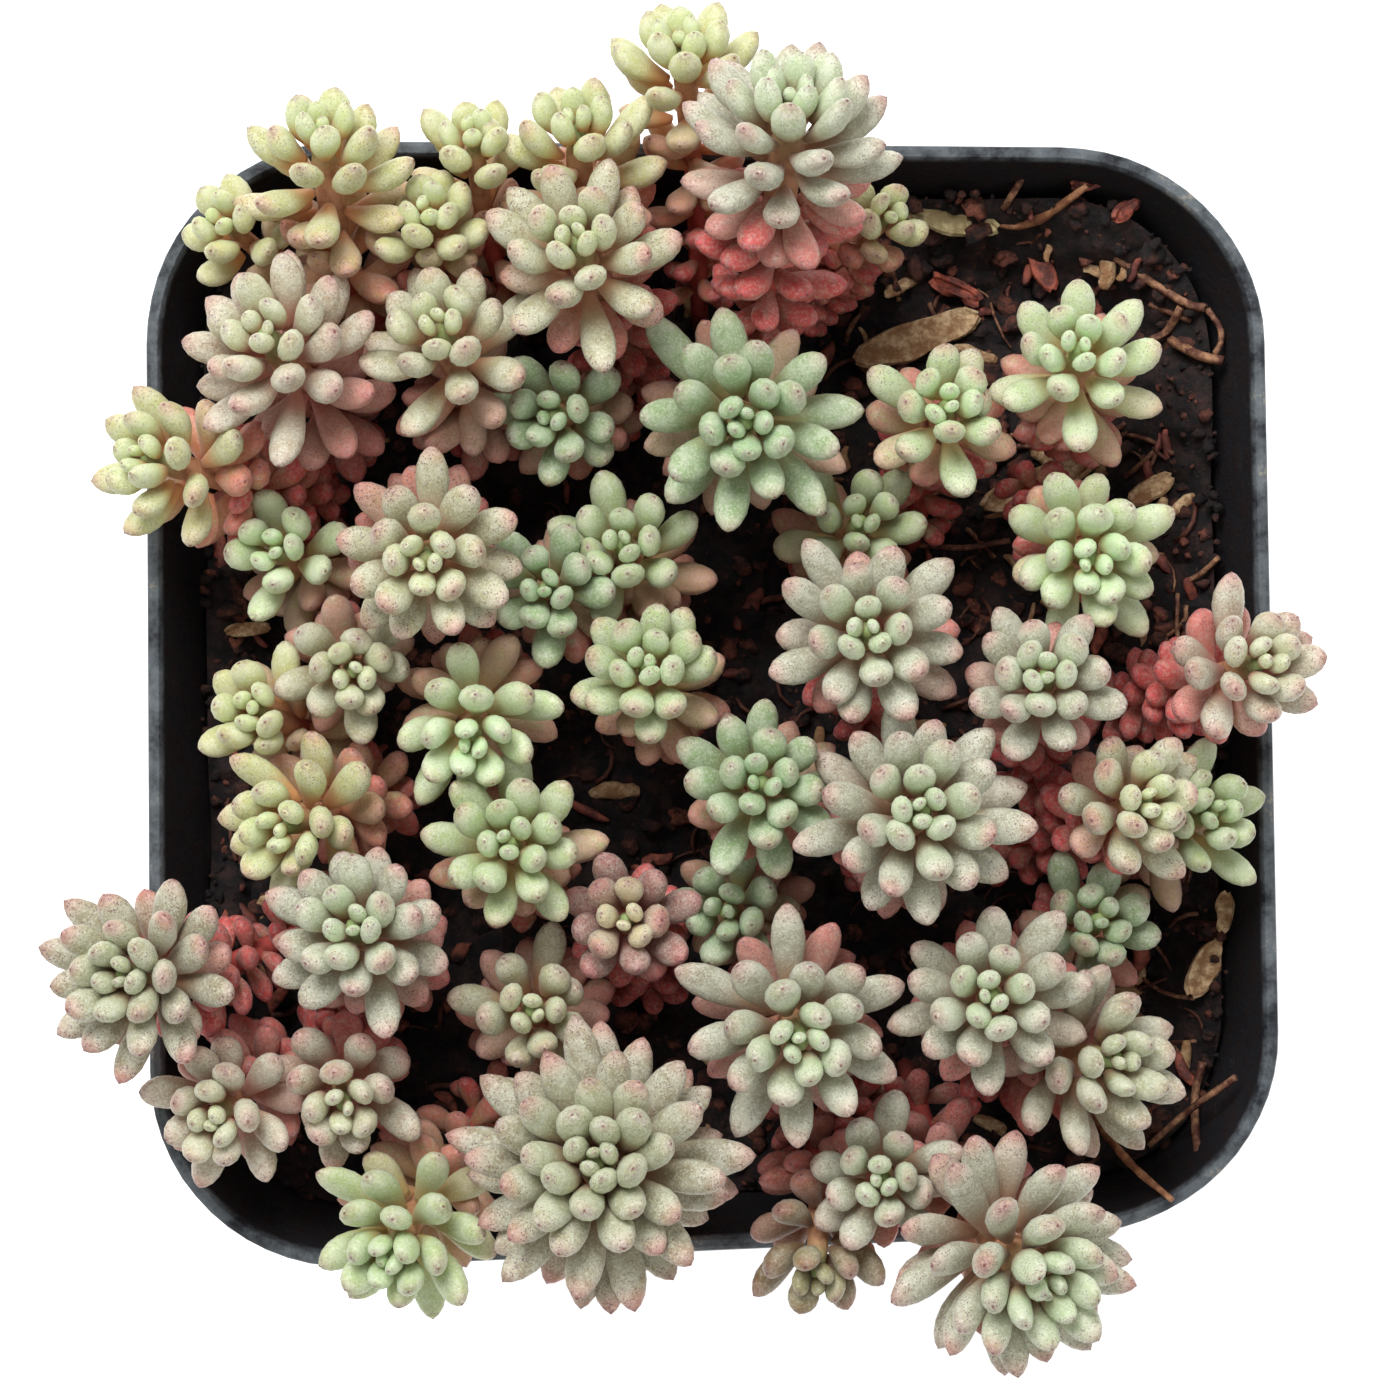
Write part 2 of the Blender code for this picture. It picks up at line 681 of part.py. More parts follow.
def stem_mesh(shape, head, low):
    """The stem under the leaves, from the lowest ring of the core down into the soil."""
    rings = []
    for number, middle in enumerate(head.stem):
        below = head.stem[min(number + 1, len(head.stem) - 1)]
        above = head.stem[max(number - 1, 0)]
        run = head.axis if number == 0 else unit(above - below)
        across = unit(head.across - run * (head.across @ run))
        over = np.cross(run, across)
        radius = STEM_RADIUS if number else min(STEM_RADIUS, STEM_TOP_SHARE * head.core_radius())
        ring = []
        for k in range(STEM_SIDES):
            turn = 2 * math.pi * k / STEM_SIDES
            ring.append(middle + radius * (math.cos(turn) * across + math.sin(turn) * over))
        rings.append(ring)
    made = loft(shape, rings)
    shape.faces.new(made[-1])

    def turn_of(vert, middle):
        arm = np.array(vert.co) - middle
        return math.atan2(arm @ head.over, arm @ head.across) % (2 * math.pi)

    upper = sorted(low, key=lambda vert: turn_of(vert, head.below(head.count + head.older)))
    lower = sorted(made[0], key=lambda vert: turn_of(vert, head.stem[0]))
    bridge(shape, upper, lower)


def pot_mesh(shape):
    """The pot: a tapered box with round corners, a collar under the rim and a floor."""
    collar = POT_HEIGHT - COLLAR_DEPTH
    sections = (
        (0.0, FOOT_HALF - FOOT_EDGE, FOOT_CORNER - FOOT_EDGE),
        (FOOT_EDGE, FOOT_HALF, FOOT_CORNER),
        (collar, wall_half(collar), wall_corner(collar)),
        (collar + 0.4, RIM_HALF - 0.3, RIM_CORNER - 0.3),
        (POT_HEIGHT - 0.5, RIM_HALF, RIM_CORNER),
        (POT_HEIGHT, RIM_HALF - 0.4, RIM_CORNER - 0.4),
        (POT_HEIGHT, RIM_HALF - RIM_WIDTH + 0.3, RIM_CORNER - RIM_WIDTH + 0.3),
        (POT_HEIGHT - 0.6, RIM_HALF - RIM_WIDTH, RIM_CORNER - RIM_WIDTH),
        (collar, wall_half(collar) - WALL, wall_corner(collar) - WALL),
        (FLOOR, wall_half(FLOOR) - WALL, wall_corner(FLOOR) - WALL),
    )
    rings = [[out_of_square(x, y, z) for x, y in outline(half, corner)] for z, half, corner in sections]
    made = loft(shape, rings, split=True)
    shape.faces.new(made[0])
    shape.faces.new(made[-1])


def drain_mesh(shape):
    """The four cutters of the drainage holes."""
    for quarter in range(4):
        turn = math.pi / 4 + quarter * math.pi / 2
        cx, cy = DRAIN_PLACE * math.cos(turn), DRAIN_PLACE * math.sin(turn)
        rings = []
        for z in (-1.0, FLOOR + 1.0):
            ring = []
            for k in range(DRAIN_SIDES):
                angle = 2 * math.pi * k / DRAIN_SIDES
                ring.append((cx + DRAIN_RADIUS * math.cos(angle), cy + DRAIN_RADIUS * math.sin(angle), z))
            rings.append(ring)
        made = loft(shape, rings)
        shape.faces.new(made[0])
        shape.faces.new(made[-1])


def soil_mesh(shape):
    """The soil: it fills the pot and has an uneven top."""
    walls = []
    for z in (SOIL_BRIM, FLOOR + GAP):
        section = outline(wall_half(z) - WALL - GAP, wall_corner(z) - WALL - GAP)
        walls.append([out_of_square(x, y, z) for x, y in section])
    rings = []
    for share in SOIL_RINGS:
        rings.append([(x * share, y * share, soil_height(x * share, y * share)) for x, y, _ in walls[0]])
    made = loft(shape, rings + walls, split=True)
    shape.faces.new(made[-1])
    peak = shape.verts.new((0.0, 0.0, soil_height(0.0, 0.0)))
    for k, vert in enumerate(made[0]):
        shape.faces.new((vert, made[0][(k + 1) % len(made[0])], peak))


def hole_mesh(shape, heads):
    """The cutters of the holes that the stems stand in."""
    for head in heads:
        bottom, top = head.stem[-1], head.stem[-2]
        rings = []
        for height in (bottom[2] - GAP, top[2] + HOLE_TOP):
            ring = []
            for k in range(STEM_SIDES):
                turn = 2 * math.pi * k / STEM_SIDES + head.foot_turn()
                reach = STEM_RADIUS + GAP / math.cos(math.pi / STEM_SIDES)
                ring.append((bottom[0] + reach * math.cos(turn), bottom[1] + reach * math.sin(turn), height))
            rings.append(ring)
        made = loft(shape, rings)
        shape.faces.new(made[0])
        shape.faces.new(made[-1])


def cut(target, cutter):
    """Cuts a helper object out of another, and drops the helper."""
    modifier = target.modifiers.new("cut", "BOOLEAN")
    modifier.operation = "DIFFERENCE"
    modifier.object = cutter
    depsgraph = bpy.context.evaluated_depsgraph_get()
    mesh = bpy.data.meshes.new_from_object(target.evaluated_get(depsgraph))
    target.modifiers.clear()
    target.data = mesh
    bpy.data.objects.remove(cutter)


def rod_mesh(shape, places, radius):
    """A thin rod through places as seen from the eye."""
    points = [place_seen(*place) for place in places]
    rings = []
    for k, middle in enumerate(points):
        run = unit(points[min(k + 1, len(points) - 1)] - points[max(k - 1, 0)])
        over = unit(np.cross(run, np.array((0.0, 0.0, 1.0))))
        rise = np.cross(over, run)
        ring = []
        for side in range(ROD_SIDES):
            turn = 2 * math.pi * side / ROD_SIDES
            ring.append(middle + radius * (math.cos(turn) * over + math.sin(turn) * rise))
        rings.append(ring)
    made = loft(shape, rings)
    shape.faces.new(made[0])
    shape.faces.new(made[-1])


def chip_mesh(shape, place, size, degrees, sink):
    """A flat bit with six corners that lies on the soil, sunk into the dip between the soil's peaks."""
    length, width, thick = size
    turn = math.radians(degrees)
    x0, y0 = place
    spots = []
    for u, v in CHIP_OUTLINE:
        x, y = u * length, v * width
        spots.append((x * math.cos(turn) - y * math.sin(turn), x * math.sin(turn) + y * math.cos(turn)))
    low = max(soil_height(x0 + x, y0 + y) for x, y in (*spots, (0.0, 0.0))) + GAP - sink
    rings = []
    for rise, share in CHIP_BEVEL:
        rings.append([(x0 + x * share, y0 + y * share, low + thick * rise) for x, y in spots])
    made = loft(shape, rings)
    shape.faces.new(made[0])
    shape.faces.new(made[-1])


def main():
    for obj in list(bpy.data.objects):
        bpy.data.objects.remove(obj)
    heads = [head_from_row(number, row) for number, row in enumerate(HEADS, 1)]
    settle_feet(heads)
    for head in heads:
        lay_stem(head)
    clear_leaves(heads)
    for head in heads:
        thin_leaves(head)
        tint = TINTS[head.tint]
        new_object(head.name, lambda shape, head=head: head_mesh(shape, head), tint, LEAF_ROUGHNESS)

    pot = new_object("pot", pot_mesh, POT_COLOUR, POT_ROUGHNESS)
    cut(pot, new_object("drain", drain_mesh, POT_COLOUR, POT_ROUGHNESS))
    soil = new_object("soil", soil_mesh, SOIL_COLOUR, SOIL_ROUGHNESS, smooth=False)
    cut(soil, new_object("holes", lambda shape: hole_mesh(shape, heads), SOIL_COLOUR, SOIL_ROUGHNESS))

    litter = (
        ("twig", lambda shape: rod_mesh(shape, TWIG_PLACES, TWIG_RADIUS), TWIG_COLOUR),
        ("root_fibre", lambda shape: rod_mesh(shape, ROOT_PLACES, ROOT_RADIUS), ROOT_COLOUR),
        ("bark_chip", lambda shape: chip_mesh(shape, *CHIP), CHIP_COLOUR),
        ("dead_leaf", lambda shape: chip_mesh(shape, *HUSK), HUSK_COLOUR),
    )
    for name, mesh_maker, colour in litter:
        new_object(name, mesh_maker, colour, LITTER_ROUGHNESS)


main()
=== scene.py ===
"""Looks of a potted sedum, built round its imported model.

Every leafy stem, the pot, the soil and the loose bits on it get a finer piece with its own material. Sizes are
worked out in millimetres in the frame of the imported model, and become metres where a mesh is made.
"""

import logging
import math
import random
from dataclasses import dataclass, field, replace
from enum import Enum

import bpy
import numpy as np
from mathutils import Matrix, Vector, noise


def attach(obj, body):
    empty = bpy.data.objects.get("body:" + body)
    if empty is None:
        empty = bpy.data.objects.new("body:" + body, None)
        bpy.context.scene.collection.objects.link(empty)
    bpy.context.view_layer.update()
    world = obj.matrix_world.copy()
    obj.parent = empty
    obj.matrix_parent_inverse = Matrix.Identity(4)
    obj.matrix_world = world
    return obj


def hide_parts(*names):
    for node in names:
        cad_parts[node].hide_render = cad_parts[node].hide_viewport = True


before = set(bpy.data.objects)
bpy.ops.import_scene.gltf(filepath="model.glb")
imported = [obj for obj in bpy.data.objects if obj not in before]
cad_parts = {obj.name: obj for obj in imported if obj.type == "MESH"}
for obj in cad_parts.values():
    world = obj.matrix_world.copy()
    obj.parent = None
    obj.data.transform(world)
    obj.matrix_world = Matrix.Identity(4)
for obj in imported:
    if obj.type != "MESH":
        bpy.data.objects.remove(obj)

log = logging.getLogger("potted sedum")

MM = 0.001
SEED = 7
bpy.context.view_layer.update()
GOLDEN = math.radians(137.5)
EYE = np.array((-0.8, -0.2, 430.0))
VIEW_ROLL = math.radians(-1.1)
FILM_WIDTH = 36.0
VIEW_WIDTH = 106.46

Colour = tuple[float, float, float]


def tone(red: int, green: int, blue: int) -> Colour:
    """A colour named by its screen values, as the shader wants it.

    Args:
        red: Red from 0 to 255.
        green: Green from 0 to 255.
        blue: Blue from 0 to 255.

    Returns:
        The linear colour.
    """
    return tuple((c / 255 / 12.92) if c < 11 else ((c / 255 + 0.055) / 1.055) ** 2.4 for c in (red, green, blue))


def unit(vector: np.ndarray) -> np.ndarray:
    """The vector at length 1."""
    return vector / np.linalg.norm(vector)


def place_seen(x: float, y: float, height: float) -> np.ndarray:
    """The true place of a point that is seen at x, y in the plane of the rim.

    Args:
        x: Place to the right, in the plane of the rim.
        y: Place upwards in the picture, in the plane of the rim.
        height: The point's real height over the foot.

    Returns:
        The point in millimetres.
    """
    share = (EYE[2] - height) / (EYE[2] - Pot.height)
    return np.array((EYE[0] + (x - EYE[0]) * share, EYE[1] + (y - EYE[1]) * share, height))


def deselect() -> None:
    """Leaves edit mode and lets go of every object."""
    if bpy.context.object and bpy.context.object.mode != "OBJECT":
        bpy.ops.object.mode_set(mode="OBJECT")
    bpy.ops.object.select_all(action="DESELECT")


def rename(name: str) -> bpy.types.Object:
    """Names the object that was just added, and its mesh."""
    piece = bpy.context.object
    piece.name = name
    piece.data.name = name
    return piece


def select_where(piece: bpy.types.Object, kind: str, test) -> int:
    """Selects the vertices or faces that pass a test, in edit mode.

    Args:
        piece: The object being edited.
        kind: VERT or FACE.
        test: A function of a vertex, or of a face.

    Returns:
        How many were selected.
    """
    bpy.ops.mesh.select_mode(type=kind)
    bpy.ops.mesh.select_all(action="DESELECT")
    bpy.ops.object.mode_set(mode="OBJECT")
    parts = piece.data.vertices if kind == "VERT" else piece.data.polygons
    for part in parts:
        part.select = bool(test(part))
    bpy.ops.object.mode_set(mode="EDIT")
    return sum(part.select for part in parts)


def read_points(mesh: bpy.types.Mesh) -> np.ndarray:
    """The vertices of a mesh as rows."""
    flat = np.zeros(len(mesh.vertices) * 3)
    mesh.vertices.foreach_get("co", flat)
    return flat.reshape(-1, 3)


def write_points(mesh: bpy.types.Mesh, points: np.ndarray) -> None:
    """Moves the vertices of a mesh to new places."""
    mesh.vertices.foreach_set("co", np.asarray(points, float).ravel())
    mesh.update()


def settle(piece: bpy.types.Object, node: str, *nodes: str) -> None:
    """Hands a finished piece to the frame.

    Args:
        piece: The finished piece, with its place in its mesh.
        node: The node that it replaces.
        nodes: Other nodes that it replaces.
    """
    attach(piece, "root")
    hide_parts(node, *nodes)
    log.info("%s: %d faces", piece.name, len(piece.data.polygons))


class Nodes:
    """A material's node tree, with short calls for the nodes that the finishes share."""

    def __init__(self, name: str) -> None:
        """Starts a material with a Principled shader."""
        self.material = bpy.data.materials.new(name)
        self.material.use_nodes = True
        self.tree = self.material.node_tree
        self.shader = self.tree.nodes["Principled BSDF"]
        self.place = self.tree.nodes.new("ShaderNodeTexCoord").outputs["Object"]

    def feed(self, socket: bpy.types.NodeSocket, value) -> None:
        """Links or sets a socket.

        Args:
            socket: The input.
            value: Another node's output, a number or a colour.
        """
        if isinstance(value, bpy.types.NodeSocket):
            self.tree.links.new(value, socket)
        elif isinstance(value, tuple):
            socket.default_value = (*value, 1.0) if len(socket.default_value) == 4 else value
        else:
            socket.default_value = value

    def attribute(self, name: str) -> bpy.types.NodeSocket:
        """The value of a number that the mesh carries."""
        node = self.tree.nodes.new("ShaderNodeAttribute")
        node.attribute_name = name
        return node.outputs["Fac"]

    def math(self, operation: str, first, second=0.0) -> bpy.types.NodeSocket:
        """A sum, product or other operation on two numbers, kept from 0 to 1.

        Args:
            operation: Blender's name of the operation.
            first: The first number.
            second: The second number.

        Returns:
            The result's socket.
        """
        node = self.tree.nodes.new("ShaderNodeMath")
        node.operation = operation
        node.use_clamp = True
        self.feed(node.inputs[0], first)
        self.feed(node.inputs[1], second)
        return node.outputs[0]

    def step(self, value, low: float, high: float, top: float = 1.0) -> bpy.types.NodeSocket:
        """A smooth rise from 0 to top while the value goes from low to high.

        Args:
            value: The number that is read.
            low: Where the rise starts.
            high: Where the rise ends.
            top: The result past the end.

        Returns:
            The result's socket.
        """
        node = self.tree.nodes.new("ShaderNodeMapRange")
        node.interpolation_type = "SMOOTHSTEP"
        self.feed(node.inputs["Value"], value)
        node.inputs["From Min"].default_value = low
        node.inputs["From Max"].default_value = high
        node.inputs["To Max"].default_value = top
        return node.outputs["Result"]

    def mix(self, share, first, second) -> bpy.types.NodeSocket:
        """A colour between two colours.

        Args:
            share: How much of the second colour shows.
            first: The first colour.
            second: The second colour.

        Returns:
            The mixed colour's socket.
        """
        node = self.tree.nodes.new("ShaderNodeMix")
        node.data_type = "RGBA"
        self.feed(node.inputs["Factor"], share)
        self.feed(node.inputs[6], first)
        self.feed(node.inputs[7], second)
        return node.outputs[2]

    def grain(self, size: float, detail: float = 3.0, roughness: float = 0.6) -> bpy.types.NodeSocket:
        """Soft noise in the piece's own place.

        Args:
            size: The width of its patches in millimetres.
            detail: How many finer layers it has.
            roughness: How strong the finer layers are.

        Returns:
            The noise, about 0.5 on average.
        """
        node = self.tree.nodes.new("ShaderNodeTexNoise")
        self.tree.links.new(self.place, node.inputs["Vector"])
        node.inputs["Scale"].default_value = 1 / (size * MM)
        node.inputs["Detail"].default_value = detail
        node.inputs["Roughness"].default_value = roughness
        return node.outputs["Fac"]

    def dots(self, apart: float) -> bpy.types.NodeSocket:
        """The distance to the nearest of scattered points, as a share of how far they lie apart.

        Args:
            apart: The points' distance in millimetres.

        Returns:
            The distance's socket.
        """
        node = self.tree.nodes.new("ShaderNodeTexVoronoi")
        self.tree.links.new(self.place, node.inputs["Vector"])
        node.inputs["Scale"].default_value = 1 / (apart * MM)
        return node.outputs["Distance"]

    def bump(self, height, depth: float, strength: float) -> None:
        """Raises the surface's look by a height.

        Args:
            height: The height from 0 to 1.
            depth: The height of 1 in millimetres.
            strength: How much of it shows.
        """
        node = self.tree.nodes.new("ShaderNodeBump")
        node.inputs["Strength"].default_value = strength
        node.inputs["Distance"].default_value = depth * MM
        self.feed(node.inputs["Height"], height)
        self.feed(self.shader.inputs["Normal"], node.outputs["Normal"])

    def finish(self, colour, roughness, **constants: float) -> bpy.types.Material:
        """Joins colour and roughness to the shader and sets its other values.

        Args:
            colour: The base colour.
            roughness: The roughness.
            constants: Other shader values by their names, with underscores for spaces.

        Returns:
            The material.
        """
        self.feed(self.shader.inputs["Base Color"], colour)
        self.feed(self.shader.inputs["Roughness"], roughness)
        for name, value in constants.items():
            self.feed(self.shader.inputs[name.replace("_", " ")], value)
        return self.material


@dataclass(frozen=True)
class LeafFinish:
    """The skin of plump leaves: green in the middle of a head, with a waxy bloom, fine specks, a flushed tip, and
    painted shade that darkens heads growing low.
    """

    young: Colour
    grown: Colour
    base: Colour
    bloom: float
    wax: Colour = tone(228, 231, 214)
    flush: Colour = tone(214, 116, 112)
    old: Colour = tone(210, 86, 82)
    # The dark green that painted shade mixes into the leaves of low heads.
    painted_shade_colour: Colour = tone(58, 66, 42)
    speck: Colour = tone(122, 84, 92)
    point: Colour = tone(112, 44, 52)
    roughness: float = 0.5

    def make(self, name: str, blush: float, shade: float) -> bpy.types.Material:
        """The material of one head's leaves.

        Args:
            name: The material's name.
            blush: How much the tips are flushed, from 0 to 1.
            shade: How much painted shade darkens the head, more for a head that grows low, from 0 to 1.

        Returns:
            The material.
        """
        nodes = Nodes(name)
        along = nodes.attribute("along")
        age = nodes.attribute("age")
        chance = nodes.attribute("chance")
        redness = nodes.attribute("redness")
        patches = nodes.grain(1.3, 2.0)
        colour = nodes.mix(nodes.step(age, 0.1, 0.6), self.young, self.grown)
        colour = nodes.mix(nodes.step(along, 0.6, 0.12, 0.85), colour, self.base)
        wax = nodes.math("MULTIPLY", nodes.step(along, 0.2, 0.8, self.bloom), nodes.step(patches, 0.3, 0.66))
        colour = nodes.mix(wax, colour, self.wax)
        skin = nodes.grain(0.3, 2.0)
        frost = nodes.step(nodes.grain(0.2, 1.0), 0.5, 0.64, self.bloom)
        frost = nodes.math("MULTIPLY", frost, nodes.step(along, 0.2, 0.6))
        colour = nodes.mix(frost, colour, self.wax)
        tips = nodes.math("MULTIPLY", nodes.step(along, 0.74, 1.0, blush), nodes.step(chance, -0.3, 0.9))
        tips = nodes.math("MULTIPLY", tips, nodes.step(age, 0.05, 0.5))
        colour = nodes.mix(tips, colour, self.flush)
        aged = nodes.math("ADD", nodes.step(along, 0.1, 0.8, 0.5), 0.5)
        aged = nodes.math("MULTIPLY", nodes.math("MULTIPLY", aged, redness), nodes.step(patches, 0.05, 0.5))
        colour = nodes.mix(aged, colour, self.old)
        chalk = nodes.math("MULTIPLY", redness, nodes.step(skin, 0.42, 0.7, 0.25))
        colour = nodes.mix(chalk, colour, self.wax)
        fine = nodes.step(nodes.dots(0.19), 0.48, 0.18)
        many = nodes.math("ADD", nodes.step(along, 0.3, 0.95, 0.12 + 1.1 * blush), nodes.step(age, 0.15, 0.7, 0.6 * blush))
        specks = nodes.math("MULTIPLY", fine, many)
        specks = nodes.math("MULTIPLY", specks, nodes.step(nodes.grain(0.5, 1.0), 0.3, 0.62))
        colour = nodes.mix(specks, colour, self.speck)
        smear = nodes.math("MULTIPLY", nodes.step(along, 0.88, 0.99, 0.5), nodes.step(skin, 0.3, 0.6))
        colour = nodes.mix(smear, colour, self.speck)
        colour = nodes.mix(nodes.step(along, 0.98, 0.995, 0.85), colour, self.point)
        # Painted shade: a low head's colour is darkened towards a dark green.
        colour = nodes.mix(shade, colour, self.painted_shade_colour)
        nodes.bump(nodes.grain(0.25, 1.0), 0.05, 0.35)
        rough = nodes.step(patches, 0.2, 0.8, 0.16)
        rough = nodes.math("ADD", rough, self.roughness - 0.08)
        material = nodes.finish(
            colour,
            rough,
            Subsurface_Weight=0.1,
            Subsurface_Radius=(1.0, 0.6, 0.25),
            Subsurface_Scale=0.0014,
            Sheen_Weight=0.12,
            Sheen_Roughness=0.5,
            Specular_IOR_Level=0.42,
        )
        return material


class Tint(Enum):
    """The kinds of head by their leaves' colour."""

    FRESH = LeafFinish(tone(180, 204, 146), tone(182, 200, 142), tone(190, 164, 102), 0.42)
    GREY = LeafFinish(tone(190, 208, 164), tone(174, 172, 148), tone(166, 122, 90), 0.5)
    BEIGE = LeafFinish(tone(206, 214, 162), tone(184, 180, 142), tone(184, 128, 92), 0.45)
    PALE = LeafFinish(tone(198, 228, 170), tone(194, 212, 158), tone(198, 170, 110), 0.42)
    YELLOW = LeafFinish(tone(200, 212, 150), tone(196, 198, 136), tone(208, 142, 92), 0.35)
    DULL = LeafFinish(tone(180, 186, 146), tone(166, 158, 130), tone(160, 114, 84), 0.46)
    PINK = LeafFinish(tone(202, 206, 162), tone(188, 170, 146), tone(180, 110, 90), 0.48)
    MINT = LeafFinish(tone(160, 192, 138), tone(152, 178, 128), tone(164, 146, 94), 0.42)
    MAUVE = LeafFinish(tone(230, 220, 174), tone(164, 114, 106), tone(146, 78, 70), 0.3)
    # OLIVE's dark brown-green is partly the head's own colour and partly painted shade for a low head by the rim.
    OLIVE = LeafFinish(tone(154, 148, 98), tone(138, 114, 80), tone(110, 80, 56), 0.25)


@dataclass(frozen=True)
class StemFinish:
    """The skin of the stems: green at the tip, then tan, pink and brown towards the soil."""

    heart: Colour = tone(146, 166, 108)
    top: Colour = tone(190, 140, 104)
    middle: Colour = tone(196, 88, 80)
    foot: Colour = tone(128, 60, 52)

    def make(self, name: str) -> bpy.types.Material:
        """The material of the stems."""
        nodes = Nodes(name)
        age = nodes.attribute("age")
        colour = nodes.mix(nodes.step(age, 0.02, 0.2), self.heart, self.top)
        colour = nodes.mix(nodes.step(age, 0.25, 0.7), colour, self.middle)
        colour = nodes.mix(nodes.step(age, 1.3, 2.0), colour, self.foot)
        patches = nodes.grain(0.8)
        colour = nodes.mix(nodes.step(patches, 0.45, 0.75, 0.5), colour, self.foot)
        nodes.bump(patches, 0.2, 0.6)
        return nodes.finish(colour, 0.6)


@dataclass(frozen=True)
class PlasticFinish:
    """Thin black plastic, greyed and scuffed at the rim, the grey partly wear and partly a painted reflection, with
    dust inside.
    """

    black: Colour = (0.0085, 0.0095, 0.014)
    # Grey of the rim: partly wear, partly a painted reflection of the rim's top edge.
    rim_wear_and_sheen: Colour = (0.125, 0.145, 0.16)
    dust: Colour = tone(160, 150, 134)
    soil: Colour = tone(34, 22, 20)

    def make(self, name: str) -> bpy.types.Material:
        """The material of the pot."""
        nodes = Nodes(name)
        rim = nodes.attribute("rim")
        patches = nodes.grain(3.5, 5.0, 0.7)
        scratches = nodes.grain(0.35, 2.0)
        # The grey band on the rim: wear in patches together with a painted reflection.
        wear_and_painted_sheen = nodes.math("MULTIPLY", rim, nodes.step(patches, 0.3, 0.62))
        colour = nodes.mix(wear_and_painted_sheen, self.black, self.rim_wear_and_sheen)
        scuffs = nodes.math("MULTIPLY", nodes.step(patches, 0.56, 0.66), nodes.step(scratches, 0.45, 0.62))
        scuffs = nodes.math("MULTIPLY", scuffs, nodes.math("ADD", nodes.math("MULTIPLY", rim, 0.6), 0.08))
        colour = nodes.mix(scuffs, colour, self.dust)
        inside = nodes.attribute("inside")
        dirt = nodes.math("MULTIPLY", inside, nodes.step(nodes.grain(1.4, 5.0, 0.75), 0.42, 0.6, 0.8))
        colour = nodes.mix(dirt, colour, self.soil)
        nodes.bump(nodes.math("ADD", nodes.math("MULTIPLY", scratches, 0.3), dirt), 0.3, 0.5)
        rough = nodes.math("ADD", nodes.step(patches, 0.2, 0.8, 0.22), nodes.math("MULTIPLY", inside, 0.4))
        return nodes.finish(colour, nodes.math("ADD", rough, 0.36), Specular_IOR_Level=0.3)


@dataclass(frozen=True)
class EarthFinish:
    """Damp peat or dry plant litter: a dark and a light colour in patches, rough all over."""

    dark: Colour
    light: Colour
    patch: float = 1.6
    rough: float = 0.85
    relief: float = 0.35

    def make(self, name: str) -> bpy.types.Material:
        """The material."""
        nodes = Nodes(name)
        patches = nodes.grain(self.patch, 6.0, 0.7)
        chance = nodes.attribute("chance")
        share = nodes.math("MULTIPLY", nodes.step(patches, 0.4, 0.68), nodes.step(chance, -0.4, 1.0))
        colour = nodes.mix(share, self.dark, self.light)
        nodes.bump(nodes.grain(0.4, 4.0, 0.7), self.relief, 0.8)
        return nodes.finish(colour, self.rough)


@dataclass(frozen=True)
class PaperFinish:
    """A plain pale floor."""

    white: Colour = (0.9, 0.9, 0.9)
    glow: float = 0.75

    def make(self, name: str) -> bpy.types.Material:
        """The material of the floor."""
        nodes = Nodes(name)
        material = nodes.finish(self.white, 0.9, Emission_Strength=self.glow)
        nodes.shader.inputs["Emission Color"].default_value = (1.0, 1.0, 1.0, 1.0)
        return material


PEAT = EarthFinish(tone(14, 12, 14), tone(62, 41, 38))
CRUMB = EarthFinish(tone(20, 16, 17), tone(158, 92, 72), 2.2)
BARK = EarthFinish(tone(162, 118, 80), tone(244, 214, 168), 1.1, 0.8)
HUSK = EarthFinish(tone(150, 132, 90), tone(222, 206, 158), 1.6, 0.7, 0.2)
DRIED = EarthFinish(tone(92, 44, 38), tone(200, 106, 82), 1.4, 0.6, 0.15)
FIBRE = EarthFinish(tone(84, 44, 34), tone(190, 142, 106), 1.5, 0.7, 0.15)
STRAW = EarthFinish(tone(132, 84, 58), tone(212, 156, 112), 1.5, 0.7, 0.15)


class LeafKind(Enum):
    """Shapes of leaf, each as the height and half width of its rings from root to tip."""

    BUD = ((0.02, 0.27), (0.13, 0.39), (0.31, 0.475), (0.52, 0.5), (0.71, 0.46), (0.86, 0.35), (0.955, 0.2))
    GROWN = (
        (0.02, 0.17),
        (0.12, 0.245),
        (0.28, 0.355),
        (0.45, 0.455),
        (0.61, 0.5),
        (0.76, 0.462),
        (0.885, 0.345),
        (0.963, 0.188),
    )


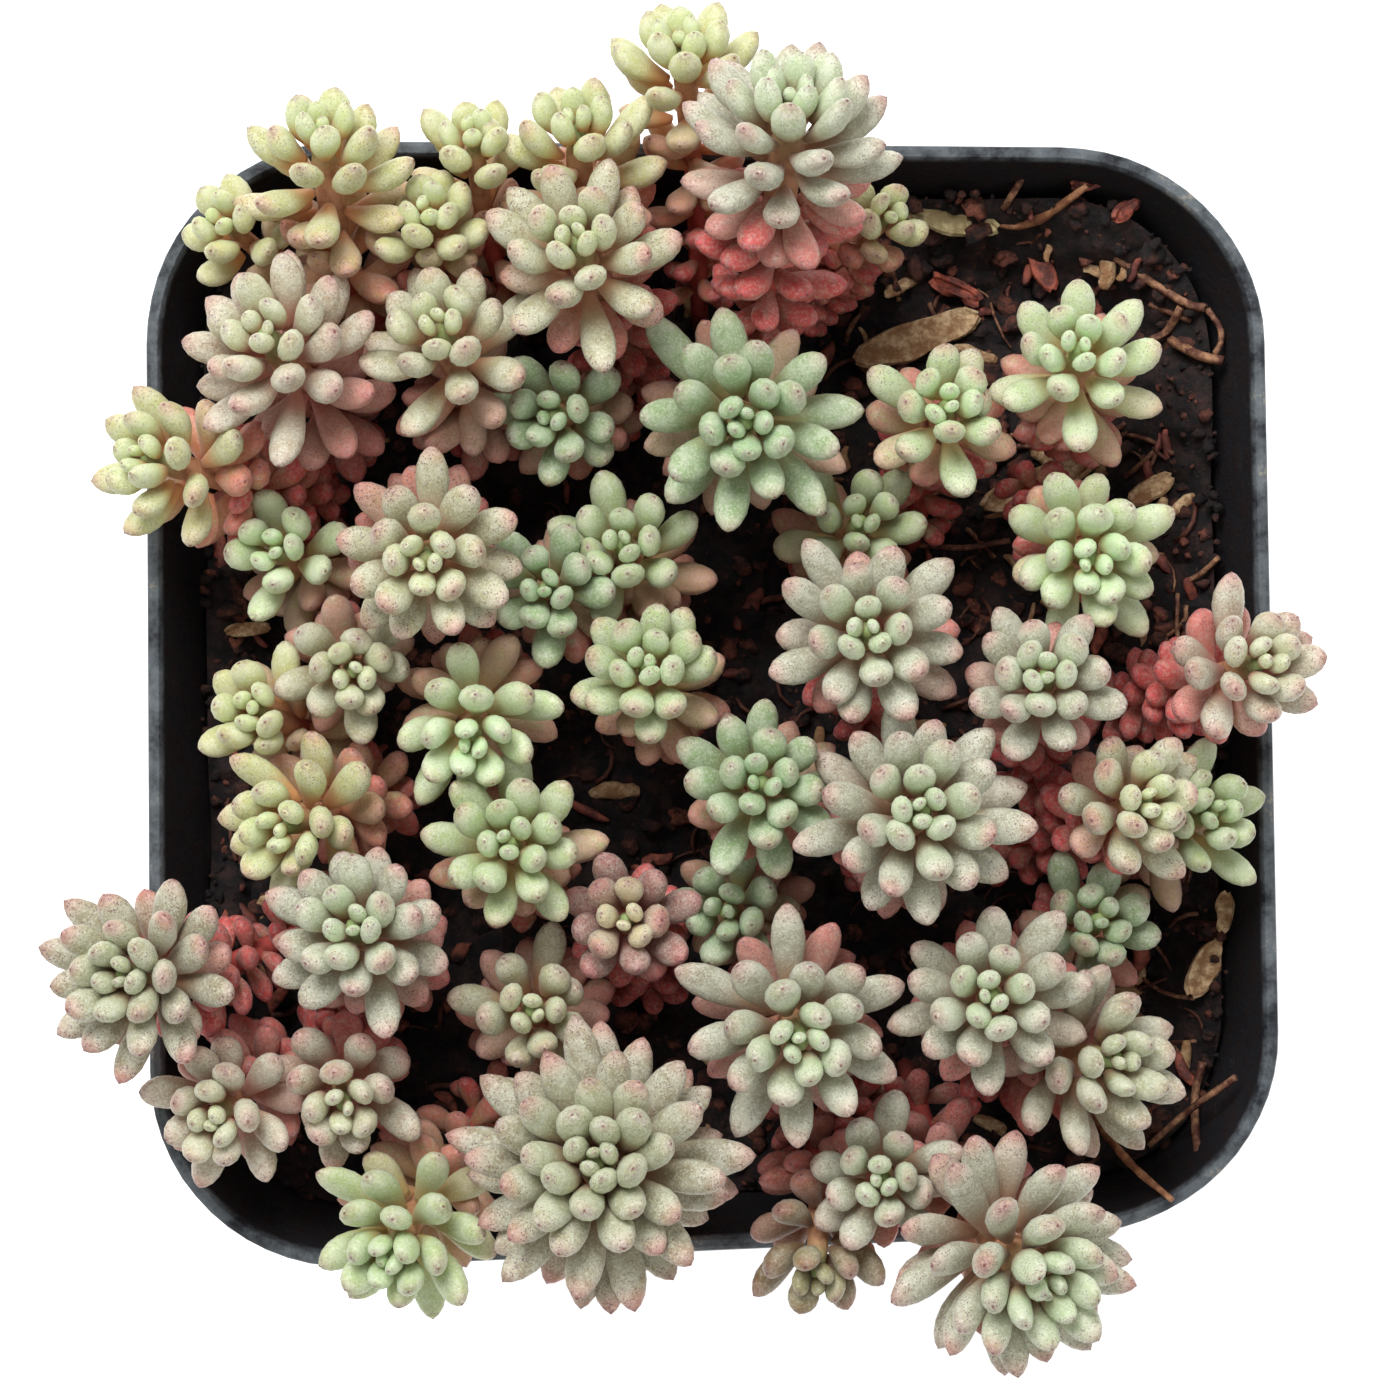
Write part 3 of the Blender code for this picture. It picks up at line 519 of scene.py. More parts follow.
@dataclass
class LeafShape:
    """One leaf modelled at length 1 and width 1, which is copied to every place where a leaf grows."""

    kind: LeafKind
    sides: int = 12
    point: float = 0.012

    def model(self) -> None:
        """Shapes a ball into the leaf, ring by ring, and keeps its points and faces."""
        rings = self.kind.value
        deselect()
        bpy.ops.mesh.primitive_uv_sphere_add(segments=self.sides, ring_count=len(rings) + 1, radius=0.5)
        piece = rename("leaf_" + self.kind.name.lower())
        levels = sorted({round(v.co.z, 4) for v in piece.data.vertices})
        bpy.ops.object.mode_set(mode="EDIT")
        for level, (height, half) in zip(levels[1:-1], rings):
            reach = max(v.co.xy.length for v in piece.data.vertices if abs(v.co.z - level) < 1e-3)
            select_where(piece, "VERT", lambda v, level=level: abs(v.co.z - level) < 1e-3)
            share = half / reach
            bpy.ops.transform.resize(value=(share, share, 1.0), center_override=(0.0, 0.0, 0.0))
            bpy.ops.transform.translate(value=(0.0, 0.0, height - level + 10.0))
        for level, height in ((levels[0], 0.0), (levels[-1], 1.0 + self.point)):
            select_where(piece, "VERT", lambda v, level=level: abs(v.co.z - level) < 1e-3)
            bpy.ops.transform.translate(value=(0.0, 0.0, height - level + 10.0))
        bpy.ops.mesh.select_all(action="SELECT")
        bpy.ops.transform.translate(value=(0.0, 0.0, -10.0))
        bpy.ops.mesh.normals_make_consistent(inside=False)
        bpy.ops.object.mode_set(mode="OBJECT")
        self.points = read_points(piece.data)
        self.faces = [tuple(face.vertices) for face in piece.data.polygons]
        bpy.data.objects.remove(piece)


@dataclass
class Leaf:
    """One leaf: its root, the frame it grows in, its size and its looks."""

    order: int
    root: np.ndarray
    out: np.ndarray
    up: np.ndarray
    side: np.ndarray
    incline: float
    length: float
    width: float
    age: float
    redness: float = 0.0
    arch: float = 0.22

    def bent(self, degrees: float, share: float) -> "Leaf":
        """The same leaf, raised or lowered and shortened."""
        incline = self.incline + math.radians(degrees)
        return replace(self, incline=incline, length=self.length * share, width=self.width * math.sqrt(share))

    def heading(self) -> np.ndarray:
        """The direction that the leaf grows in."""
        return math.sin(self.incline) * self.out + math.cos(self.incline) * self.up

    def back(self) -> np.ndarray:
        """The direction that the leaf's outer side faces."""
        return math.cos(self.incline) * self.out - math.sin(self.incline) * self.up

    def point(self, share: float) -> np.ndarray:
        """A point of the leaf's middle line, which arches a little to its outer side."""
        arch = self.arch * share * (1 - share)
        return self.root + self.length * (share * self.heading() + arch * self.back())

    def skin(self, shape: LeafShape, draw: random.Random) -> np.ndarray:
        """The copied leaf's points at their places.

        Args:
            shape: The modelled leaf.
            draw: The head's source of chance.

        Returns:
            The points in millimetres, one row each.
        """
        x, y, z = shape.points.T
        plump = Rosette.leaf_depth * draw.uniform(0.94, 1.06)
        sway = draw.uniform(-0.05, 0.05)
        twist = draw.uniform(-0.14, 0.14) * z
        flat = np.where(y > 0, 1.0, 0.86)
        across = (x * np.cos(twist) - y * plump * flat * np.sin(twist)) * self.width
        deep = (x * np.sin(twist) + y * plump * flat * np.cos(twist)) * self.width
        middle = self.length * self.arch * z * (1 - z)
        aside = self.length * sway * z * z
        return (
            self.root
            + np.outer(z * self.length, self.heading())
            + np.outer(middle + deep, self.back())
            + np.outer(across + aside, self.side)
        )


class Crowd:
    """The segments, each with its thickness and its head, that a new leaf stays clear of."""

    def __init__(self, room: int) -> None:
        """Keeps room for a number of segments."""
        self.rows = np.zeros((room, 8))
        self.count = 0

    def add(self, start: np.ndarray, end: np.ndarray, radius: float, owner: int) -> None:
        """Takes a segment in."""
        self.rows[self.count] = (*start, *end, radius, owner)
        self.count += 1

    def meets(self, start: np.ndarray, end: np.ndarray, radius: float, owner: int, clear: float) -> bool:
        """Whether a segment comes too near another head's.

        Args:
            start: The segment's start.
            end: The segment's end.
            radius: Half its thickness.
            owner: Its own head's number.
            clear: The room that it needs.

        Returns:
            True where it comes too near.
        """
        table = self.rows[: self.count]
        table = table[table[:, 7] != owner]
        along, others = end - start, table[:, 3:6] - table[:, 0:3]
        between = start - table[:, 0:3]
        a = along @ along
        e = np.einsum("ij,ij->i", others, others)
        f = np.einsum("ij,ij->i", others, between)
        c = between @ along
        b = others @ along
        spread = np.maximum(a * e - b * b, 1e-9)
        s = np.clip((b * f - c * e) / spread, 0.0, 1.0)
        t = np.clip((b * s + f) / np.maximum(e, 1e-9), 0.0, 1.0)
        s = np.clip((b * t - c) / max(a, 1e-9), 0.0, 1.0)
        gaps = np.linalg.norm(between + s[:, None] * along - t[:, None] * others, axis=1)
        return bool((gaps - table[:, 6] - radius < clear).any())


@dataclass(frozen=True)
class HeadPlan:
    """What the photograph shows of one head.

    The place of its tip is as seen from the eye in the plane of the rim; then come its radius, its leaves, the
    older leaves under them, the tip's height over the foot, its lean and the lean's direction in degrees, its
    colour, how flushed its leaf tips are and how red its oldest leaves.
    """

    x: float
    y: float
    radius: float
    leaves: int
    older: int
    height: float
    lean: float
    toward: float
    tint: Tint
    blush: float
    red: float


HEADS = (
    HeadPlan(-29.1, 45.3, 7.3, 18, 9, 93, 46, 95, Tint.YELLOW, 0.35, 0.35),
    HeadPlan(-37.3, 37.8, 4.6, 10, 3, 88, 32, 140, Tint.YELLOW, 0.05, 0.1),
    HeadPlan(-20.8, 38.5, 4.9, 13, 5, 91, 28, 90, Tint.YELLOW, 0.1, 0.5),
    HeadPlan(-34.0, 29.2, 8.6, 24, 2, 96, 24, 125, Tint.PINK, 0.35, 0.3),
    HeadPlan(-20.5, 29.7, 7.6, 18, 2, 94, 26, 110, Tint.BEIGE, 0.3, 0.3),
    HeadPlan(-44.1, 19.5, 6.8, 17, 8, 92, 40, 165, Tint.YELLOW, 0.3, 0.8),
    HeadPlan(-17.4, 44.6, 5.2, 13, 5, 90, 42, 95, Tint.YELLOW, 0.1, 0.3),
    HeadPlan(-9.4, 45.4, 7.0, 17, 6, 92, 42, 92, Tint.YELLOW, 0.25, 0.6),
    HeadPlan(-9.8, 35.8, 8.3, 21, 8, 98, 18, 110, Tint.BEIGE, 0.5, 0.95),
    HeadPlan(7.4, 46.9, 9.0, 29, 17, 100, 42, 82, Tint.GREY, 0.35, 1.0),
    HeadPlan(-1.3, 51.4, 6.3, 17, 9, 90, 46, 95, Tint.YELLOW, 0.1, 0.4),
    HeadPlan(-12.0, 21.6, 5.9, 14, 1, 89, 12, 200, Tint.MINT, 0.15, 0.4),
    HeadPlan(3.1, 20.9, 9.6, 25, 0, 95, 5, 270, Tint.MINT, 0.15, 0.3),
    HeadPlan(15.2, 37.1, 3.6, 8, 6, 84, 30, 40, Tint.YELLOW, 0.3, 1.0),
    HeadPlan(28.6, 26.6, 7.3, 16, 3, 91, 15, 100, Tint.PALE, 0.25, 0.45),
    HeadPlan(18.7, 22.5, 6.6, 14, 7, 91, 12, 80, Tint.PALE, 0.35, 0.95),
    HeadPlan(-33.5, 12.2, 5.9, 12, 0, 87, 15, 150, Tint.PALE, 0.1, 0.3),
    HeadPlan(-21.6, 10.7, 7.9, 21, 2, 97, 6, 270, Tint.BEIGE, 0.5, 0.35),
    HeadPlan(-27.1, 2.1, 5.6, 15, 0, 90, 10, 300, Tint.BEIGE, 0.15, 0.3),
    HeadPlan(-35.7, 0.2, 5.6, 13, 0, 89, 22, 150, Tint.YELLOW, 0.05, 0.1),
    HeadPlan(-33.8, -9.7, 6.8, 18, 3, 92, 26, 200, Tint.YELLOW, 0.35, 0.4),
    HeadPlan(-27.8, -16.5, 7.6, 23, 2, 96, 14, 110, Tint.GREY, 0.45, 0.3),
    HeadPlan(-18.3, -3.6, 7.0, 18, 0, 92, 20, 270, Tint.PALE, 0.2, 0.4),
    HeadPlan(-46.0, -20.2, 7.7, 29, 4, 95, 20, 165, Tint.DULL, 0.55, 0.9),
    HeadPlan(-39.0, -31.9, 6.3, 17, 5, 91, 18, 225, Tint.PINK, 0.35, 0.6),
    HeadPlan(-28.6, -31.1, 6.6, 16, 2, 91, 14, 280, Tint.PINK, 0.4, 0.7),
    HeadPlan(-25.8, -42.8, 7.2, 20, 6, 93, 26, 235, Tint.FRESH, 0.15, 0.4),
    HeadPlan(-12.7, 8.8, 5.8, 14, 0, 90, 8, 160, Tint.MINT, 0.1, 0.4),
    HeadPlan(-6.7, 12.4, 6.9, 15, 0, 89, 14, 110, Tint.FRESH, 0.1, 0.3),
    HeadPlan(-5.0, 3.1, 6.5, 18, 0, 93, 15, 105, Tint.FRESH, 0.3, 0.3),
    HeadPlan(12.2, 5.1, 8.5, 22, 5, 97, 5, 100, Tint.GREY, 0.4, 0.9),
    HeadPlan(12.0, 13.6, 6.6, 12, 2, 86, 12, 60, Tint.FRESH, 0.1, 0.5),
    HeadPlan(3.8, -6.3, 7.4, 20, 0, 94, 8, 90, Tint.MINT, 0.2, 0.4),
    HeadPlan(16.2, -8.7, 9.3, 27, 4, 99, 8, 60, Tint.GREY, 0.45, 0.5),
    HeadPlan(-15.6, -10.5, 7.0, 19, 0, 93, 9, 100, Tint.FRESH, 0.2, 0.3),
    HeadPlan(-6.8, -16.6, 5.6, 15, 2, 90, 8, 100, Tint.MAUVE, 0.6, 0.9),
    HeadPlan(0.4, -16.5, 5.6, 12, 0, 87, 12, 180, Tint.MINT, 0.05, 0.3),
    HeadPlan(29.4, 9.6, 7.1, 20, 4, 91, 10, 285, Tint.PALE, 0.2, 0.9),
    HeadPlan(25.6, 1.7, 6.6, 19, 6, 96, 14, 95, Tint.GREY, 0.35, 0.95),
    HeadPlan(43.2, 2.2, 6.7, 18, 8, 93, 24, 20, Tint.PINK, 0.45, 0.95),
    HeadPlan(33.9, -8.1, 6.3, 18, 6, 93, 22, 30, Tint.BEIGE, 0.45, 1.0),
    HeadPlan(39.1, -9.3, 6.6, 14, 0, 88, 25, 20, Tint.FRESH, 0.1, 0.3),
    HeadPlan(29.7, -17.1, 6.2, 13, 3, 87, 14, 60, Tint.MINT, 0.3, 0.8),
    HeadPlan(21.0, -23.0, 8.0, 21, 2, 96, 8, 110, Tint.GREY, 0.35, 0.6),
    HeadPlan(31.6, -28.2, 8.0, 22, 5, 91, 30, 5, Tint.DULL, 0.25, 0.6),
    HeadPlan(25.4, -46.0, 9.6, 34, 8, 97, 28, 320, Tint.GREY, 0.5, 0.4),
    HeadPlan(-14.0, -23.6, 7.6, 14, 1, 90, 4, 90, Tint.BEIGE, 0.35, 0.3),
    HeadPlan(-9.5, -34.8, 11.0, 52, 6, 100, 12, 100, Tint.DULL, 0.5, 0.5),
    HeadPlan(6.4, -26.8, 9.6, 25, 0, 97, 8, 280, Tint.GREY, 0.35, 0.4),
    HeadPlan(12.3, -37.0, 6.6, 16, 2, 92, 5, 130, Tint.GREY, 0.3, 0.7),
    HeadPlan(7.2, -45.5, 5.6, 13, 6, 89, 40, 265, Tint.OLIVE, 0.3, 0.4),
)


@dataclass
class Rosette:
    """A leafy stem: the frame at its growing tip, its leaves by the spiral rule and the line of its stem."""

    plan: HeadPlan
    number: int
    leaves: list[Leaf] = field(default_factory=list)
    stem: list[np.ndarray] = field(default_factory=list)

    bud_height = 2.0
    head_depth = 0.78
    core_share = 0.17
    leaf_depth = 0.8
    buds = 5
    stem_radius = 0.85
    stem_lag = 6.0

    def __post_init__(self) -> None:
        """Sets the head's frame where the plan says."""
        plan = self.plan
        lean, toward = math.radians(plan.lean), math.radians(plan.toward)
        self.draw = random.Random(SEED * 1000 + self.number)
        self.start = self.draw.uniform(0.0, 2 * math.pi)
        self.axis = np.array((math.sin(lean) * math.cos(toward), math.sin(lean) * math.sin(toward), math.cos(lean)))
        self.across = unit(np.cross(self.axis, np.array((-math.sin(toward), math.cos(toward), 0.0))))
        self.over = np.cross(self.axis, self.across)
        self.tip = place_seen(plan.x, plan.y, plan.height) - self.axis * self.bud_height
        self.radius = 1.07 * plan.radius * (EYE[2] - plan.height) / (EYE[2] - Pot.height)
        self.core = 0.1 + self.core_share * self.radius

    @property
    def name(self) -> str:
        """The name of the node that the head stands for."""
        return f"rosette_{self.number:02d}"

    def ray(self, turn: float) -> np.ndarray:
        """The direction out of the stem at a turn round its axis."""
        return math.cos(turn) * self.across + math.sin(turn) * self.over

    def below(self, order: float) -> np.ndarray:
        """A point of the head's axis, by its order down the spiral."""
        return self.tip - self.axis * (self.head_depth * self.radius * order / self.plan.leaves)

    def grow(self) -> None:
        """Grows the leaves by the spiral rule, youngest first."""
        plan, draw = self.plan, self.draw
        widest = 2.2 + 0.055 * self.radius
        longest = 0.68 * self.radius + 1.5
        crowding = plan.leaves / (2.05 * self.radius)
        for order in range(plan.leaves + plan.older):
            age = (order + 0.5) / plan.leaves
            grown = min(1.0, (order + 1) / (plan.leaves + 0.5))
            past = max(0, order + 1 - plan.leaves)
            turn = self.start + order * GOLDEN
            sway = math.radians(draw.uniform(-13.0, 13.0))
            nod = math.radians(draw.uniform(-8.0, 8.0))
            stretch = draw.uniform(0.86, 1.1)
            reach = self.radius * (1 - (1 - grown) ** crowding)
            if grown > 0.985:
                reach = self.radius
            swell = min(0.55 * reach, self.core)
            length = longest * math.sqrt(reach / self.radius)
            incline = math.asin(min(0.995, (reach - swell) / length)) + math.radians(2.5) * past + nod
            length *= stretch * 0.975**past * (1 - 0.2 * plan.red * min(past, 1))
            width = min(widest * draw.uniform(0.93, 1.05), 1.15 * (order + 1.0) ** 0.42)
            root = self.below(order) + self.ray(turn) * swell
            ray = self.ray(turn + sway)
            side = np.cross(self.axis, ray)
            red = plan.red * min(1.0, max(0.0, (age - 1.0) * (1.5 + 4.0 * plan.red))) * draw.uniform(0.6, 1.0)
            self.leaves.append(Leaf(order, root, ray, self.axis, side, incline, length, width, age, red))

    def lay_stem(self, foot: np.ndarray) -> None:
        """Lays the stem's line from under the leaves down into the soil.

        Args:
            foot: Where the stem leaves the soil.
        """
        top = self.below(self.plan.leaves + self.plan.older + self.stem_lag)
        length = np.linalg.norm(top - foot)
        lead = top - self.axis * length * 0.4
        rise = foot + np.array((0.0, 0.0, length * 0.35))
        for step in range(6):
            share = step / 5
            keep = 1 - share
            self.stem.append(keep**3 * top + 3 * keep**2 * share * lead + 3 * keep * share**2 * rise + share**3 * foot)
        self.stem.append(np.array((foot[0], foot[1], Soil.top - 6.0)))

    def grow_skirt(self) -> None:
        """Adds the short old leaves that sit on the stem under the head."""
        plan, draw = self.plan, self.draw
        count = 22 + round(18 * plan.red)
        longest = (0.78 * self.radius + 1.4) * (1 - 0.28 * plan.red)
        for number in range(count):
            share = 3.7 * ((number + 0.5) / count) ** 1.35
            first = min(int(share), 3)
            start, end = self.stem[first], self.stem[first + 1]
            run = unit(start - end)
            middle = start + (end - start) * (share - first)
            turn = self.start + (plan.leaves + plan.older + number) * GOLDEN
            ray = self.ray(turn)
            ray = unit(ray - run * (ray @ run))
            incline = math.radians(draw.uniform(52.0, 84.0) + 7.0 * share)
            length = max(2.8, longest * (1 - 0.17 * share)) * draw.uniform(0.8, 1.1)
            width = min(2.65, 0.95 + 0.28 * length)
            red = min(1.0, (0.2 + 0.16 * share + plan.red) * draw.uniform(0.65, 1.1))
            order = plan.leaves + plan.older + number
            side = np.cross(run, ray)
            self.leaves.append(Leaf(order, middle + ray * 0.4, ray, run, side, incline, length, width, 1.5, red))

    def build(self, bud: LeafShape, grown: LeafShape, old: LeafShape) -> bpy.types.Object:
        """Makes the head's mesh of copied leaves and its stem.

        Args:
            bud: The modelled leaf for young leaves.
            grown: The modelled leaf for grown leaves.
            old: The plainer modelled leaf for those under the head.

        Returns:
            The head, with a material each for its leaves and its stem.
        """
        draw = random.Random(SEED * 2000 + self.number)
        points, faces, along, age, chance, redness = [], [], [], [], [], []
        base = 0
        for leaf in self.leaves:
            shape = bud if leaf.age < 0.3 else grown if leaf.age < 1.5 else old
            rows = leaf.skin(shape, draw)
            points.append(rows)
            faces += [tuple(v + base for v in face) for face in shape.faces]
            base += len(rows)
            along.append(shape.points[:, 2] / (1 + shape.point))
            age.append(np.full(len(rows), leaf.age))
            chance.append(np.full(len(rows), draw.random()))
            redness.append(np.full(len(rows), leaf.redness))
        leaf_faces = len(faces)
        rows, ages = self.stem_skin(draw)
        faces += [tuple(v + base for v in face) for face in self.stem_faces(len(rows))]
        points.append(rows)
        along.append(np.zeros(len(rows)))
        age.append(ages)
        chance.append(np.full(len(rows), 0.5))
        redness.append(np.zeros(len(rows)))
        mesh = bpy.data.meshes.new("plant_" + self.name)
        mesh.from_pydata(np.concatenate(points) * MM, [], faces)
        for name, values in (("along", along), ("age", age), ("chance", chance), ("redness", redness)):
            layer = mesh.attributes.new(name, "FLOAT", "POINT")
            layer.data.foreach_set("value", np.concatenate(values).astype(np.float32))
        index = np.zeros(len(faces), np.int32)
        index[leaf_faces:] = 1
        # Painted shade for heads that grow low, the more the lower they grow; the yellow and pale tints get none.
        bright = self.plan.tint in (Tint.YELLOW, Tint.PALE)
        shade = 0.0 if bright else min(0.3, max(0.0, (92 - self.plan.height) * 0.03))
        mesh.materials.append(self.plan.tint.value.make("leaves_" + self.name, self.plan.blush, shade))
        mesh.materials.append(STEM_SKIN)
        mesh.polygons.foreach_set("material_index", index)
        mesh.shade_smooth()
        piece = bpy.data.objects.new("plant_" + self.name, mesh)
        bpy.context.scene.collection.objects.link(piece)
        return piece

    stem_sides = 9

    def stem_skin(self, draw: random.Random) -> tuple[np.ndarray, np.ndarray]:
        """The stem's points, ring by ring from the tip, with its two end points last.

        Args:
            draw: The head's source of chance.

        Returns:
            The points in millimetres, and how far down the stem each lies.
        """
        line = [self.tip + self.axis * 0.2, self.below(self.plan.leaves * 0.5)]
        line += [self.below(self.plan.leaves + self.plan.older)]
        for first, second in zip(self.stem, self.stem[1:]):
            line += [first, (first + second) / 2]
        line.append(self.stem[-1])
        total = len(line) - 1
        rows, ages = [], []
        for number, middle in enumerate(line):
            run = unit(line[max(number - 1, 0)] - line[min(number + 1, total)])
            across = unit(self.across - run * (self.across @ run))
            over = np.cross(run, across)
            swell = self.core * 0.75 if 0 < number < 3 else self.stem_radius * draw.uniform(0.8, 1.0)
            swell = self.core * 0.35 if number == 0 else swell
            for k in range(self.stem_sides):
                turn = 2 * math.pi * k / self.stem_sides
                rows.append(middle + swell * (math.cos(turn) * across + math.sin(turn) * over))
                ages.append(2.2 * number / total)
        rows += [line[0] + self.axis * 0.2, line[-1]]
        ages += [0.0, 2.2]
        return np.array(rows), np.array(ages)

    def stem_faces(self, count: int) -> list[tuple[int, ...]]:
        """The faces between the stem's rings and at its ends.

        Args:
            count: How many points the stem has.

        Returns:
            The faces by their points' numbers.
        """
        sides = self.stem_sides
        rings = (count - 2) // sides
        faces = []
        for ring in range(rings - 1):
            for k in range(sides):
                a, b = ring * sides + k, ring * sides + (k + 1) % sides
                faces.append((a, a + sides, b + sides, b))
        for k in range(sides):
            after = (k + 1) % sides
            faces.append((k, after, count - 2))
            faces.append(((rings - 1) * sides + after, (rings - 1) * sides + k, count - 1))
        return faces


@dataclass
class Clump:
    """All the leafy stems, which give way to each other."""

    rosettes: list[Rosette] = field(default_factory=list)

    bends = (
        (0, 1.0),
        (-8, 0.97),
        (8, 0.97),
        (-16, 0.92),
        (16, 0.92),
        (-25, 0.88),
        (25, 0.85),
        (0, 0.8),
        (-14, 0.75),
        (14, 0.72),
        (-32, 0.75),
        (0, 0.64),
    )
    clear = 0.1
    body = 0.38

    def settle_feet(self) -> None:
        """Stands the stems in the soil under their heads, inside the pot and apart from each other."""
        feet = []
        for rose in self.rosettes:
            foot = rose.below(rose.plan.leaves + rose.plan.older)[:2] * 0.97
            feet.append(foot - unit(rose.axis[:2]) * (1.0 + 7.0 * rose.plan.red))
        for _ in range(120):
            for i, foot in enumerate(feet):
                for other in feet[:i]:
                    apart = foot - other
                    distance = max(np.linalg.norm(apart), 1e-6)
                    if distance < 4.6:
                        push = apart / distance * (4.6 - distance) / 2
                        foot += push
                        other -= push
            for foot in feet:
                for _ in range(4):
                    over = outline_distance(foot[0], foot[1], 29.5, 12.0)
                    if over > 0:
                        foot *= 1 - over / np.linalg.norm(foot)
        for rose, foot in zip(self.rosettes, feet):
            rose.lay_stem(np.array((*foot, Soil.height_at(*foot) + 1.0)))

    def clear_leaves(self) -> None:
        """Bends, shortens or drops the leaves that would cross another stem, the pot or the soil."""
        crowd = Crowd(6000)
        for owner, rose in enumerate(self.rosettes):
            crowd.add(rose.tip, rose.stem[0], rose.core, owner)
            crowd.add(rose.tip, rose.tip + rose.axis, rose.core + 0.3, owner)
            for start, end in zip(rose.stem, rose.stem[1:]):
                crowd.add(start, end, rose.stem_radius, owner)
        turns = []
        for owner, rose in enumerate(self.rosettes):
            for place, leaf in enumerate(rose.leaves):
                skirt = leaf.order >= rose.plan.leaves + rose.plan.older
                turns.append((skirt, leaf.order >= 0.45 * rose.plan.leaves, -rose.tip[2], owner, place))
        kept: dict[int, list[Leaf]] = {owner: [] for owner in range(len(self.rosettes))}
        for skirt, _, _, owner, place in sorted(turns):
            leaf = self.rosettes[owner].leaves[place]
            for degrees, share in self.bends:
                bent = leaf.bent(degrees, share)
                if leaf.order < Rosette.buds or self.fits(crowd, bent, owner):
                    kept[owner].append(bent)
                    break
        for owner, rose in enumerate(self.rosettes):
            rose.leaves = sorted(kept[owner], key=lambda leaf: leaf.order)

    def fits(self, crowd: Crowd, leaf: Leaf, owner: int) -> bool:
        """Whether a leaf has room, and if so takes it in.

        Args:
            crowd: What stands there already.
            leaf: The leaf as bent.
            owner: Its head's number.

        Returns:
            True where it has room.
        """
        radius = self.body * leaf.width
        start, middle = leaf.point(0.25), leaf.point(0.66)
        end = leaf.point(1.0) - leaf.heading() * radius
        if any(Pot.meets(point, radius, self.clear) for point in (start, middle, end)):
            return False
        if crowd.meets(start, middle, radius * 0.8, owner, self.clear):
            return False
        if crowd.meets(middle, end, radius, owner, self.clear):
            return False
        crowd.add(start, middle, radius * 0.8, owner)
        crowd.add(middle, end, radius, owner)
        return True

    def build(self) -> None:
        """Grows and makes every head."""
        shapes = LeafShape(LeafKind.BUD), LeafShape(LeafKind.GROWN), LeafShape(LeafKind.GROWN, sides=9)
        for shape in shapes:
            shape.model()
        self.rosettes = [Rosette(plan, number) for number, plan in enumerate(HEADS, 1)]
        for rose in self.rosettes:
            rose.grow()
        self.settle_feet()
        for rose in self.rosettes:
            rose.grow_skirt()
        self.clear_leaves()
        for rose in self.rosettes:
            settle(rose.build(*shapes), rose.name)


def outline_distance(x: float, y: float, half: float, corner: float) -> float:
    """How far a point lies outside a square with round corners; negative inside.

    Args:
        x: The point's place to the right.
        y: The point's place away.
        half: Half the square's width.
        corner: The corners' radius.

    Returns:
        The distance in millimetres.
    """
    reach_x = abs(x) - (half - corner)
    reach_y = abs(y) - (half - corner)
    outside = math.hypot(max(reach_x, 0.0), max(reach_y, 0.0))
    return outside + min(max(reach_x, reach_y), 0.0) - corner


